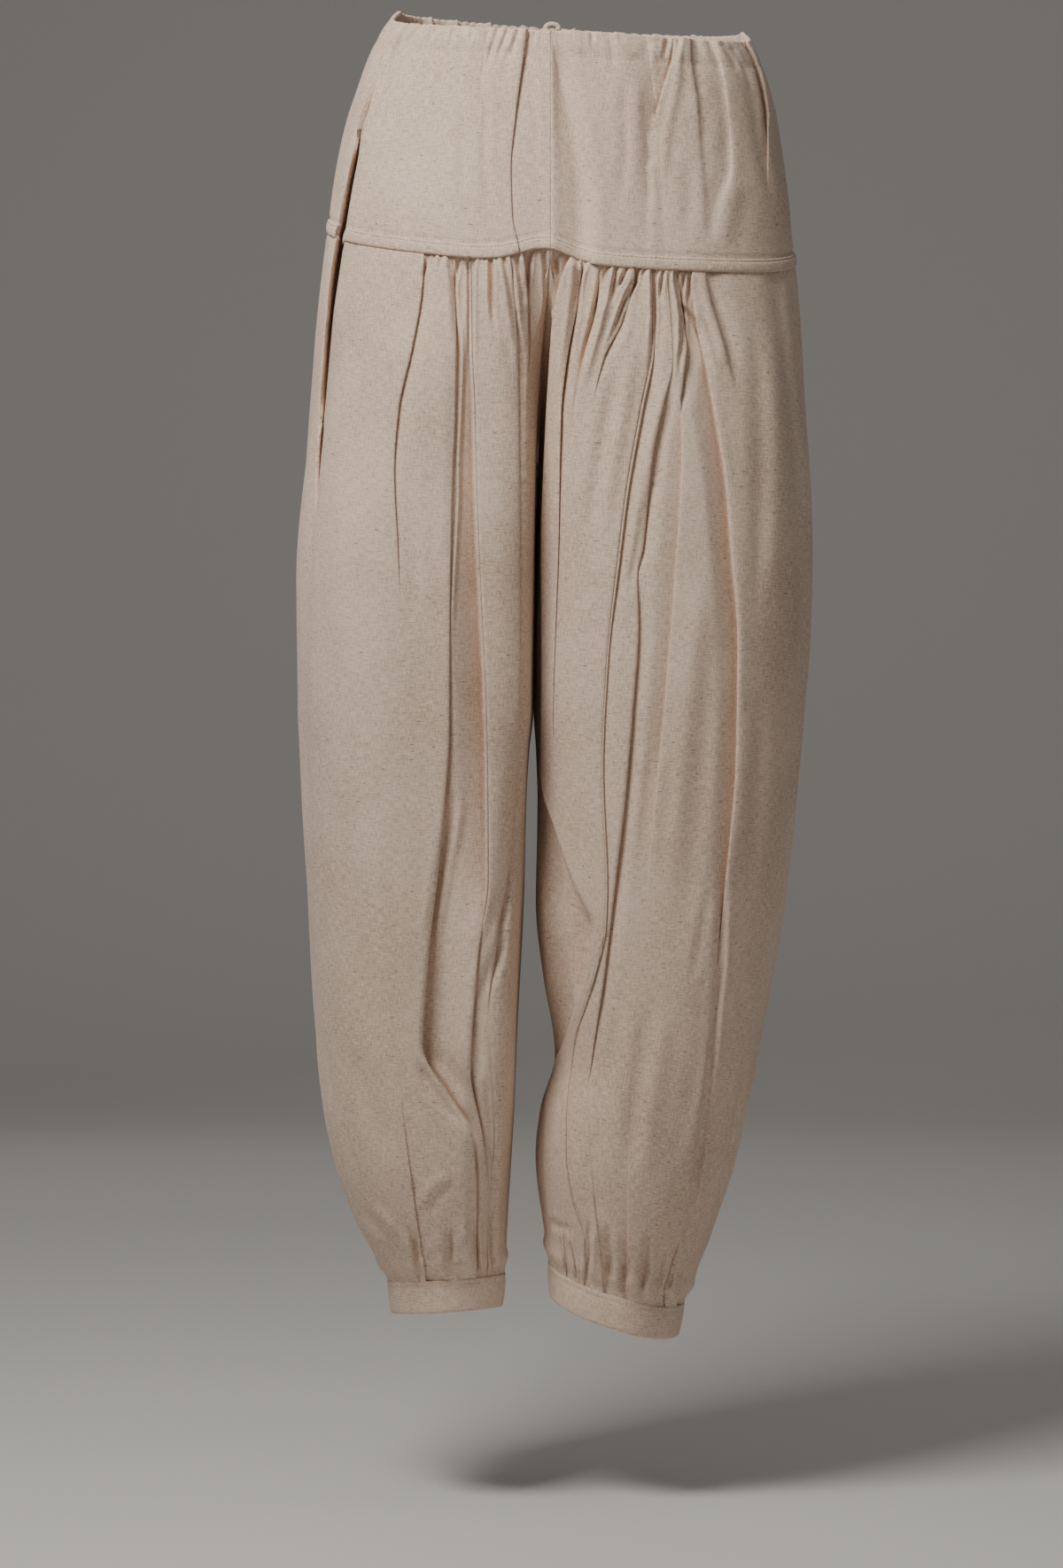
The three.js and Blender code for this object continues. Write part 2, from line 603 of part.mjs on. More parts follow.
const cotton = new THREE.MeshStandardMaterial({ color: "#d3c5ae", roughness: 0.92, metalness: 0 });
const salwar = new THREE.Group();
function addPiece(name, geometry) {
  const piece = new THREE.Mesh(geometry, cotton);
  piece.name = name;
  salwar.add(piece);
}

// How much of a small gather is left at a height, for the waist and for the legs
const waistFade = (half) => (s, z) => (rough) =>
  Math.exp((z - waistHeight(half, s)) / (GATHER_RUN.waist * (0.6 + rough)));
const legFade = (half) => (s, z) => (rough) =>
  Math.exp((z - yokeFootHeight(half, ringShare(s))) / (GATHER_RUN.yoke * (0.5 + 1.3 * rough))) +
  Math.exp((cuffHeight(half, s) - z) / (GATHER_RUN.cuff * (0.6 + rough)));

// Pulls a piece's first and last columns back from the seams beside it
function trimmed(body, row, heightAt) {
  const gap = (s) => SEAM_GAP / 2 / frameAt(body, s, heightAt(s)).stretch;
  const kept = [...row];
  kept[0] += gap(row[0]);
  kept[kept.length - 1] -= gap(row.at(-1));
  return kept;
}

// The yoke: one panel round each side, its top turned in as a casing for the cord
function buildYoke(name, half) {
  const body = yokeBody(half);
  const fade = waistFade(half);
  const footAt = (u) => yokeFootHeight(half, u) + SEAM_GAP / 2;
  const bandTop = (u) => footAt(u) + BAND_HEIGHT;
  const rowHeight = (f) => (u) => mix(waistHeight(half, u), bandTop(u), f);
  const heights = [...YOKE_ROWS.map(rowHeight), bandTop, footAt];
  const places = heights.map((height) => {
    const row = ringColumns(body, YOKE_PLAIN, height).map((c) => c.s);
    return trimmed(body, row, height);
  });
  const thick = (u, z) => {
    const below = waistHeight(half, u) - CASING_HEIGHT - z;
    return mix(CASING, CLOTH, ease(0.5 + below / CASING_TAPER));
  };
  const heightAt = (r, u) => heights[r](u);
  addPiece("yoke_" + name, clothWall(body, places, heightAt, fade, { thick }));
  const strip = places.slice(-2);
  const stripHeight = (r, u) => heights[heights.length - 2 + r](u);
  const lift = { thick: () => BAND, off: BAND + SEAM_GAP };
  addPiece("yoke_band_" + name, clothWall(body, strip, stripHeight, fade, lift));
}

// A leg: an outer panel that wraps the side, and two gussets that meet it front and back
function buildLeg(name, half, plain) {
  const body = legBody(half);
  const fade = legFade(half);
  const topAt = (s) => yokeFootHeight(half, ringShare(s)) - SEAM_GAP / 2;
  const footAt = (s) => cuffHeight(half, s) + SEAM_GAP / 2;
  const heights = LEG_ROWS.map((f) => (s) => mix(topAt(s), footAt(s), f));
  const rings = heights.map((height) => ringColumns(body, plain, height));
  const seams = rings[0].flatMap((c, i) => (c.seam ? [i] : []));
  const cuts = [0, seams[0], seams[1], rings[0].length - 1];
  const names = ["gusset_front_", "leg_panel_", "gusset_back_"];
  const heightAt = (r, s) => heights[r](s);
  names.forEach((piece, k) => {
    const places = rings.map((ring, r) => {
      const row = ring.slice(cuts[k], cuts[k + 1] + 1).map((c) => c.s);
      return trimmed(body, row, heights[r]);
    });
    addPiece(piece + name, clothWall(body, places, heightAt, fade, { thick: () => CLOTH }));
  });
}

// A cuff: a stiff band round the ankle, plain, pressed to a crease at its outer side
const CUFF_COLUMNS = 44;
function buildCuff(name, half) {
  const body = { ...legBody(half), folds: [[], []] };
  const row = Array.from({ length: CUFF_COLUMNS }, (_, i) => i / CUFF_COLUMNS);
  const edges = [0, 0.5, 1].map((f) => (s) => cuffHeight(half, s) - SEAM_GAP / 2 - f * CUFF_HEIGHT);
  const options = { thick: () => CUFF, closedRing: true };
  const places = edges.map(() => row);
  addPiece("cuff_" + name, clothWall(body, places, (r, s) => edges[r](s), () => () => 0, options));
}

// The end of the cord, tucked in so that a small loop of it stands over the centre front
const LOOP = { x: -15, width: 13, rise: 8, thick: 2.6, wide: 3.4, steps: 10, sides: 3 };
function buildLoop() {
  const half = rightHalf;
  const foot = waistHeight(half, 0) + 2 * SEAM_GAP;
  const y = ringPoint(half, 0, 0)[1] + CASING / 2 + 1;
  const reach = LOOP.width / 2 - LOOP.thick / 2;
  const section = new THREE.Shape().absellipse(0, 0, LOOP.thick / 2, LOOP.wide / 2, 0, 2 * Math.PI);
  const arch = new THREE.CatmullRomCurve3([
    new THREE.Vector3(LOOP.x - reach, y, foot),
    new THREE.Vector3(LOOP.x - reach * 0.95, y, foot + LOOP.rise * 0.5),
    new THREE.Vector3(LOOP.x, y, foot + LOOP.rise - LOOP.thick / 2),
    new THREE.Vector3(LOOP.x + reach * 0.95, y, foot + LOOP.rise * 0.5),
    new THREE.Vector3(LOOP.x + reach, y, foot),
  ]);
  const options = {
    steps: LOOP.steps,
    curveSegments: LOOP.sides,
    extrudePath: arch,
    bevelEnabled: false,
  };
  addPiece("cord_loop", new THREE.ExtrudeGeometry(section, options));
}

const rightHalf = makeHalf(
  RIGHT, RIGHT_OUTLINE, RIGHT_CUFF_EDGE,
  [YOKE_RIGHT_FRONT, YOKE_RIGHT_BACK], [RIGHT_FRONT, RIGHT_BACK],
);
const leftHalf = makeHalf(
  LEFT, LEFT_OUTLINE, LEFT_CUFF_EDGE,
  [YOKE_LEFT_FRONT, YOKE_LEFT_BACK], [LEFT_FRONT, LEFT_BACK],
);
[["right", rightHalf, RIGHT_PLAIN], ["left", leftHalf, LEFT_PLAIN]].forEach(([name, half, plain]) => {
  buildYoke(name, half);
  buildLeg(name, half, plain);
  buildCuff(name, half);
});
buildLoop();

export default salwar;
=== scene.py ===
"""Salwar: thin shells of handloom cotton with their folds, gathers, seams and weave."""
import math

import bmesh
import bpy
import numpy as np
from mathutils import Matrix, Vector


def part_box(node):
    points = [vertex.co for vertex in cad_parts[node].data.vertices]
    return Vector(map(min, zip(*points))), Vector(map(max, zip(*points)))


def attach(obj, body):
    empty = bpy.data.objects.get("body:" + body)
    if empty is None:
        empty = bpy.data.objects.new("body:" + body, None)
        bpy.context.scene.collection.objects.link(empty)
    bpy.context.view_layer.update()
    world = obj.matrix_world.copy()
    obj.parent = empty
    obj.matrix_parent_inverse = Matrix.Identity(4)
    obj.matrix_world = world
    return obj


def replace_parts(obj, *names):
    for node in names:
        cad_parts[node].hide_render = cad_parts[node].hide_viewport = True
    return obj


bl_info = {
    "name": "Salwar",
    "version": (1, 0, 0),
    "blender": (4, 5, 0),
    "location": "3D View > Sidebar > Salwar",
    "description": "Gathered handloom cotton trousers, filled out as they hang from the waist",
    "category": "Object",
}

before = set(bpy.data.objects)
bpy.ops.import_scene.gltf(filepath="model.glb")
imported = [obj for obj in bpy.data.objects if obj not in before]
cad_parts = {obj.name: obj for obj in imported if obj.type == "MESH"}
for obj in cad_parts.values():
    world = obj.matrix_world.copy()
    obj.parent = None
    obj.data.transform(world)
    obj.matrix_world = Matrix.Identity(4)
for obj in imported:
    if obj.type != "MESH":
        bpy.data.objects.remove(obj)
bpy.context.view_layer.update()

# Sizes are in millimetres, apart from those of the property groups, which are in metres
MM = 0.001
RIGHT, LEFT = -1, 1
FRONT, BACK = 0, 1
CENTRE_SEAM_X = -16
CASING_DEPTH = 19.0  # from the waist edge down to the stitches of its casing
BAND_TOP = 8.6  # from the yoke's foot up to the upper edge of its band
# How the waist's edge, the yoke's foot and the cuffs' upper edges run: the mean height, the tilt
# from side to side, the swing in front and behind, and the power that bows the swing in front
WAIST_EDGE = dict(mean=4, tilt=-8, front=-24, back=10, bow=0.45)
YOKE_FOOT = dict(mean=-164.5, tilt=-12.5, front=-27, back=-6, bow=0.75)
SIDE_SOFTNESS = 0.12  # how softly an edge turns at the sides
YOKE_FOOT_LIFT = dict(height=11, x=-20, reach=26)  # the rise of the yoke's foot at the centre front
RIGHT_CUFF_EDGE = dict(mean=-941, tilt=3, front=4.5, back=-3)
LEFT_CUFF_EDGE = dict(mean=-944.5, tilt=15, front=-5, back=4)
# How far the two legs have parted, by the drop below the yoke's foot: drop, share
PARTING = [(0, 0), (35, 0.2), (75, 0.46), (130, 0.7), (220, 0.9), (345, 1)]
HIP_TO_LEG = 1.8  # how strongly the points by the parting are drawn together at the hips
EDGE = dict(least=1.4, most=2.4, share=0.6)  # the width of a fold's step
SWELL = dict(share=0.25, most=1.1, reach=7)  # how the cloth swells before a fold
PINCH = dict(share=0.22, most=0.9, width=1.6)  # how far a fold's foot is drawn in
OVERHANG = dict(most=1.9, share=0.45)  # how far a fold's lip hangs over the cloth below it
FLAT_INNER = {RIGHT: 2.4, LEFT: 0}  # how much flatter than an oval a leg is in front, by the parting
FLAT_SPAN = (-900, 160, -250, 100)  # the heights where it is so, each with the length it fades over
CENTRE_CALM = 7  # the length over which folds die away towards a centre seam
CREASED_AT_CENTRE = 0.7  # the share of a crease's depth that is left at a centre seam
# How a leg lies under the yoke and in its cuff: how far from them, how low and high, how still
SEWN = dict(reach=9, low=-2.6, under_yoke=-0.2, in_cuff=-0.5, still=0.8)
# The deep slit behind the front edge of the right side pleat, by height: its middle, half width, depth
SIDE_SLIT = [
    (-46, -147, 1.2, 0),
    (-62, -151, 1.6, 9),
    (-81, -156.5, 2.0, 18),
    (-104, -160.5, 2.6, 26),
    (-127, -165.5, 3.0, 32),
    (-150, -169.5, 3.6, 36),
    (-167, -172, 4.0, 38),
    (-186, -175, 4.0, 38),
    (-220, -179.5, 3.3, 34),
    (-265, -183.5, 3.0, 28),
    (-330, -187.5, 2.2, 14),
    (-385, -190, 1.6, 0),
]


# The outline in front view, and the outline and roundness in side view
RIGHT_OUTLINE = [  # z, outer, inner
    (20, -122, -28.8),
    (7, -134, -28.8),
    (-20, -151, -28.8),
    (-47, -161, -28.8),
    (-90, -172.5, -28.8),
    (-153, -182.5, -28.8),
    (-235, -192, -28.8),
    (-315, -198, -28.8),
    (-420, -205.5, -28.8),
    (-515, -205, -28.9),
    (-545, -203.5, -32),
    (-600, -201, -35),
    (-660, -198, -37),
    (-740, -193.5, -40.5),
    (-815, -186, -43),
    (-850, -178, -45),
    (-900, -161, -48),
    (-943, -139, -50),
    (-975, -135, -53),
]
LEFT_OUTLINE = [  # z, outer, inner
    (20, 106, -28.2),
    (-5, 130, -28.2),
    (-20, 138, -28.2),
    (-47, 148, -28.2),
    (-90, 156.5, -28.2),
    (-180, 167.5, -28.2),
    (-260, 174.5, -28.2),
    (-393, 180.5, -28.2),
    (-460, 178.5, -28.2),
    (-515, 174.5, -28.1),
    (-545, 172, -26.5),
    (-607, 166, -25),
    (-660, 160, -25.5),
    (-713, 152, -20.5),
    (-775, 140, -12),
    (-815, 131, -23),
    (-850, 123, -27),
    (-910, 105, -20),
    (-935, 95, -17),
    (-960, 85.5, -16),
    (-990, 80, -13),
]
SIDE_VIEW = [  # z, front, back, roundness of the inner side, roundness of the outer side
    (20, -93, 92, 3.3, 2.2),
    (-20, -97, 99, 3.3, 2.2),
    (-80, -105, 115, 3.3, 2.2),
    (-165, -112, 124, 3.3, 2.3),
    (-250, -117, 126, 3.7, 2.3),
    (-350, -119, 124, 3.7, 2.3),
    (-450, -118, 120, 3.5, 2.3),
    (-600, -110, 115, 3.1, 2.2),
    (-750, -99, 109, 2.8, 2.1),
    (-850, -89, 99, 2.6, 2),
    (-905, -74, 82, 2.4, 1.9),
    (-945, -56, 66, 2.3, 1.75),
    (-990, -54, 62, 2.3, 1.7),
]

# Folds of the legs, from the centre outwards. Each row is one fold: at the heights z its edge runs
# through x, and past the edge the cloth drops by depth, away from the centre, or towards it where
# depth is negative. It comes back within reach. edge is the least width of a soft step. A seam row
# is where two panels meet.
RIGHT_FRONT = [
  dict(z=[-185, -220, -280, -400, -560, -700, -850, -945],
    x=[-38, -35, -34, -34, -40, -46, -52, -54],
    depth=[-6, -8, -8, -2, -1, -1, -1, -1.5],
    reach=24),
  dict(z=[-185, -250, -330, -450, -540, -610, -680, -740, -830, -945],
    x=[-47, -42, -40, -39.5, -41, -45, -57, -62, -58, -59],
    depth=[-3, -3, -2, -3, -4, -6, -6, 0, -1, -2],
    reach=12),
  dict(z=[-185, -250, -290, -350, -430, -500, -560, -640, -700, -780, -830, -880, -945],
    x=[-74, -73, -71, -69.5, -66.5, -63, -61.5, -61, -71, -77, -68, -63, -64],
    depth=[3, 4, 9, 14, 16, 16, 13, 6, -3, -5, -5, -4, -2],
    reach=21, seam=True),
  dict(z=[-185, -250, -300, -350, -430, -530, -620, -700, -760, -800, -825, -870, -945],
    x=[-89, -86.5, -87, -89, -90.5, -92, -99, -108, -112, -92, -76, -72.5, -72],
    depth=[-3, -3, -2.5, -2.5, -2.5, -4, -8, -13, -17, -13, -8, -5, -3],
    reach=36),
  dict(z=[-185, -215, -250, -300, -340, -400, -440, -780, -870, -945],
    x=[-109.5, -112, -118, -128.5, -131, -128, -126, -126, -118, -108],
    depth=[-2.5, -3, -3, -3, -2.4, -1.6, 0, 0, -2, -3],
    reach=10),
  dict(z=[-175, -215, -245, -290, -325, -380, -450, -600, -780, -870, -945],
    x=[-172, -178, -182, -186, -190, -192, -189, -184, -176, -152, -127],
    depth=[2, 2, 2, 2, 2, 2, 1.8, 1.8, 1, 1, 2],
    reach=16),
]
RIGHT_BACK = [
  dict(z=[-170, -250, -430, -600, -780, -945],
    x=[-42, -40, -42, -48, -54, -60],
    depth=[-2, -4, -3, -3, -2, -2],
    reach=14),
  dict(z=[-170, -250, -330, -430, -600, -780, -945],
    x=[-66, -68, -66, -64, -66, -72, -74],
    depth=[3, 4, 6, 8, 7, 4, 2],
    reach=22, seam=True),
  dict(z=[-170, -250, -330, -430, -600, -700, -780, -860, -945],
    x=[-92, -94, -98, -104, -108, -112, -106, -96, -88],
    depth=[-3, -5, -6, -6, -8, -10, -9, -4, -2],
    reach=24),
  dict(z=[-170, -250, -330, -430, -600, -780, -945],
    x=[-118, -126, -138, -146, -146, -138, -108],
    depth=[3, 4, 4, 3, 2, 2, 2],
    reach=12),
]
LEFT_FRONT = [
  dict(z=[-185, -215, -250, -300, -450, -560, -610, -645, -675, -711, -763, -805, -850, -945],
    x=[0, -10, -15.5, -19, -23, -23, -10, 3, 16, 10, -7, -20, -22, -7],
    depth=[-6, -7, -8, -7, -3, -3, -9, -16, -23, -20, -6, -1, -1, -2],
    reach=60),
  dict(z=[-185, -215, -263, -300, -390, -520, -560, -645, -675, -711, -763, -805, -850, -945],
    x=[5, 1.8, -6.5, -10, -11, -15, -14, 8, 18, 11.5, -5, -16, -16, -3],
    depth=[5, 5, 5, 4, 2, 1, 0, 0, 0, 0, 0, 0, 0, 1.5],
    reach=10),
  dict(z=[-188, -220, -257, -300, -350, -430, -560, -645, -675, -711, -763, -805, -850, -945],
    x=[22.7, 20.5, 11, 2.5, -3, -4, -4, 13, 19.5, 12.7, -3.5, -12, -12, 1],
    depth=[-4, -5, -5, -4, -2, 0, 0, 0, 0, 0, 0, 0, 0, -1.5],
    reach=12),
  dict(z=[-188, -210, -233, -262, -300, -430, -560, -645, -675, -711, -763, -805, -850, -945],
    x=[45, 41, 34, 21, 14, 10, 8, 18, 21, 13.8, -2, -8.5, -9, 4],
    depth=[3, 4, 4, 2, 0, 0, 0, 0, 0, 0, 0, 0, 0, 1.5],
    reach=10),
  dict(z=[-190, -250, -300, -355, -407, -480, -560, -645, -675, -711, -767, -805, -840, -876, -909, -945],
    x=[58.5, 57.7, 48.8, 39, 32.4, 24.5, 21, 24, 23, 15, -0.5, -5, -5.6, -1, 8.5, 8],
    depth=[2, 3, 3, 3, 3, 2, 2, 2, 2, 2, 1, 1, 1.5, 1.5, 1.5, 1.5],
    reach=8, seam=True),
  dict(z=[-190, -262, -295, -330, -398, -420, -450, -520, -582, -640, -697, -767, -800, -945],
    x=[67, 72, 64, 56, 48.7, 45.5, 46, 41, 35.6, 29, 22.5, 14, 11, 22],
    depth=[1, 0.5, 3, 4, 4, 2, 3, 4, 5, 6, 5, 2, 0, 2],
    reach=10),
  dict(z=[-199, -233, -250, -276, -290, -302, -327, -420, -479, -525, -574, -607, -640, -800, -945],
    x=[74.8, 78.7, 80.6, 78, 76.7, 79.3, 80.6, 75.6, 71, 67, 62, 58.6, 56, 42, 41],
    depth=[3, 4, 5, 5, 3, -1, -3, -3, -3, -3, -3, -2, 0, 0, -2],
    reach=12),
  dict(z=[-203, -233, -270, -314, -350, -400, -466, -553, -607, -660, -721, -787, -851, -891, -930, -945],
    x=[88, 92, 99.7, 107.3, 113, 117, 122, 121, 117, 111.5, 104.4, 96.3, 88.3, 84, 74, 70],
    depth=[-3, -5, -7, -8, -9, -10, -9, -8, -6, -3, -1, 0, 0, 0, -1, -3],
    reach=17),
  dict(z=[-200, -219, -238, -263, -300, -400, -520, -660, -787, -891, -945],
    x=[94, 98, 104, 111, 119, 130, 134, 124, 108, 94, 78],
    depth=[2, 3, 3, 2, 0, 0, 0, 0, 0, 2, 3],
    reach=16, edge=7),
]
LEFT_BACK = [
  dict(z=[-180, -250, -430, -600, -780, -945],
    x=[6, 2, -8, -4, 4, 2],
    depth=[-2, -4, -3, -3, -3, -2],
    reach=14),
  dict(z=[-180, -250, -330, -430, -600, -780, -945],
    x=[30, 29, 24, 20, 20, 22, 18],
    depth=[3, 4, 6, 7, 6, 4, 2],
    reach=20, seam=True),
  dict(z=[-180, -250, -330, -430, -600, -700, -780, -860, -945],
    x=[56, 58, 62, 66, 64, 62, 56, 48, 38],
    depth=[-3, -5, -6, -6, -7, -9, -8, -4, -2],
    reach=22),
  dict(z=[-180, -250, -330, -430, -600, -780, -945],
    x=[84, 92, 106, 116, 112, 94, 58],
    depth=[3, 4, 4, 4, 3, 3, 2],
    reach=14),
]

# Folds of the yoke, in the same form
YOKE_RIGHT_FRONT = [
  dict(z=[0, -21, -61, -90, -120, -156, -180],
    x=[-34, -36, -40.6, -43.6, -46, -45, -40],
    depth=[-4, -4, -3, -2, -1.3, -1.3, -1.6],
    reach=26),
  dict(z=[0, -45, -105, -180], x=[-56, -64, -68, -72], depth=[4, 2, 0, 0], reach=10),
  dict(z=[0, -45, -105, -180], x=[-90, -95, -98, -100], depth=[3, 1, 0, 0], reach=10),
  dict(z=[10, -31, -47, -60, -110, -180],
    x=[-108, -130, -135, -140, -150, -156],
    depth=[2, 5, 4, 2, 0, 0],
    reach=8),
  dict(z=[10, -20, -45, -66, -90, -115, -138, -180],
    x=[-115, -137, -144, -149, -157, -163.6, -167.6, -173],
    depth=[3, 4, 4, 3, 3, 2, 2, 2],
    reach=16),
]
YOKE_LEFT_FRONT = [
  dict(z=[0, -22, -55, -78, -108, -138, -180],
    x=[0, 2, 9, 14, 18.5, 22, 22],
    depth=[-2, -3, -5, -6, -7, -7, -6],
    reach=18, edge=18),
  dict(z=[0, -45, -105, -180], x=[30, 37, 43, 47], depth=[1, 2, 2, 1], reach=22, edge=20),
  dict(z=[0, -24, -38, -67, -98, -180],
    x=[78, 76.7, 75, 66, 60, 56],
    depth=[-4, -5, -4, -3, -3, -1],
    reach=16),
  dict(z=[0, -33, -67, -130, -180], x=[85, 83.5, 88, 92, 96], depth=[3, 3, 2, 1, 0], reach=18, edge=8),
  dict(z=[0, -60, -117, -148, -180],
    x=[104, 117, 121, 112, 106],
    depth=[-2, -2, -2, -0.6, 0],
    reach=14, edge=10),
  dict(z=[0, -21, -38, -54, -73, -92, -137, -180],
    x=[120, 132, 140, 143.9, 146.4, 146, 146, 147],
    depth=[-3, -5, -5, -5, -4, -2, 0, 0],
    reach=10),
]


def yoke_back(*places):
    """Folds of the yoke behind, which have the same depths in both halves."""
    depths = [-3, -2, -1, 0], [4, 3, 1, 0], [3, 2, 1, 0], [4, 3, 2, 1]
    rows = zip(places, depths, (12, 10, 12, 10))
    return [dict(z=[0, -45, -105, -180], x=x, depth=depth, reach=reach) for x, depth, reach in rows]


YOKE_RIGHT_BACK = yoke_back(
    [-38, -38, -39, -40], [-62, -68, -72, -76], [-88, -98, -106, -112], [-108, -126, -138, -146])
YOKE_LEFT_BACK = yoke_back([4, 4, 4, 4], [34, 38, 42, 46], [64, 74, 82, 88], [94, 114, 126, 134])

# Creases in front, each a soft trough: its depth, half width, whether it starts in a seam, and its
# points (x, z). A negative depth is a ridge.
YOKE_RIGHT_CREASES = [
    (2.2, 1.8, 1, [(-111, -11), (-119, -20), (-123, -33)]),
    (1.6, 1.5, 1, [(-101, -15), (-106, -23), (-110, -32)]),
    (1.2, 1.5, 1, [(-87, -17), (-89, -25), (-92, -34)]),
    (1.2, 1.5, 1, [(-73, -18), (-75, -27)]),
    (1.8, 2, 1, [(-54, -18), (-59, -33), (-67, -55)]),
    (1.8, 1.8, 1, [(-47, -19), (-52, -32), (-58, -43)]),
    (2, 1.6, 1, [(-39, -19), (-42, -28), (-45, -40)]),
    (1.4, 1.4, 1, [(-27, -20), (-29, -29)]),
    (3, 2.2, 0, [(-127, -33), (-133, -52), (-141, -73), (-145, -88)]),
    (1.2, 3, 0, [(-69, -40), (-63, -78), (-65, -117), (-58, -155)]),
    (-1, 4, 0, [(-94, -46), (-87, -91), (-89, -130), (-81, -169)]),
    (1, 4, 0, [(-120, -46), (-121, -85), (-126, -130), (-125, -162)]),
    (-0.8, 2.5, 0, [(-25, -27), (-23, -78), (-22, -142)]),
    (0.9, 3, 0, [(-46, -30), (-50, -59)]),
    (0.8, 3, 0, [(-81, -23), (-80, -46)]),
    (0.8, 3, 0, [(-102, -24), (-106, -52), (-108, -78)]),
]
YOKE_LEFT_CREASES = [
    (1.4, 1.4, 1, [(-4, -22), (-5, -32)]),
    (1.2, 1.6, 1, [(14, -22), (15, -33)]),
    (1.2, 1.5, 1, [(35, -22), (36, -33)]),
    (1.6, 1.6, 1, [(70, -23), (68, -33), (66, -42)]),
    (2.6, 1.8, 1, [(78, -23), (76, -33), (73, -49)]),
    (1.6, 1.6, 1, [(92, -23), (93, -34), (95, -43)]),
    (1.8, 1.8, 1, [(101, -24), (106, -36), (110, -50)]),
    (1.8, 1.8, 1, [(111, -25), (120, -38), (126, -52)]),
    (1.6, 1.6, 1, [(119, -27), (129, -43), (135, -59)]),
    (1.6, 2.5, 0, [(114, -24), (119, -33), (122, -42)]),
    (-1.4, 3, 0, [(79, -23), (77, -54), (68, -98), (65, -136)]),
    (-1.5, 6, 0, [(122, -123), (115, -148), (108, -180)]),
    (-0.9, 5, 0, [(90, -61), (93, -81), (97, -97)]),
    (-0.9, 5, 0, [(108, -73), (106, -91), (102, -110)]),
    (-1.2, 4, 0, [(-4, -30), (2, -61), (9, -103), (14, -136)]),
    (1, 4, 0, [(41, -40), (38, -72), (39, -110), (34, -149)]),
    (0.9, 3, 0, [(28, -24), (30, -46)]),
    (0.9, 3, 0, [(57, -24), (54, -40)]),
    (1.2, 5, 0, [(83, -110), (86, -142), (83, -173)]),
]
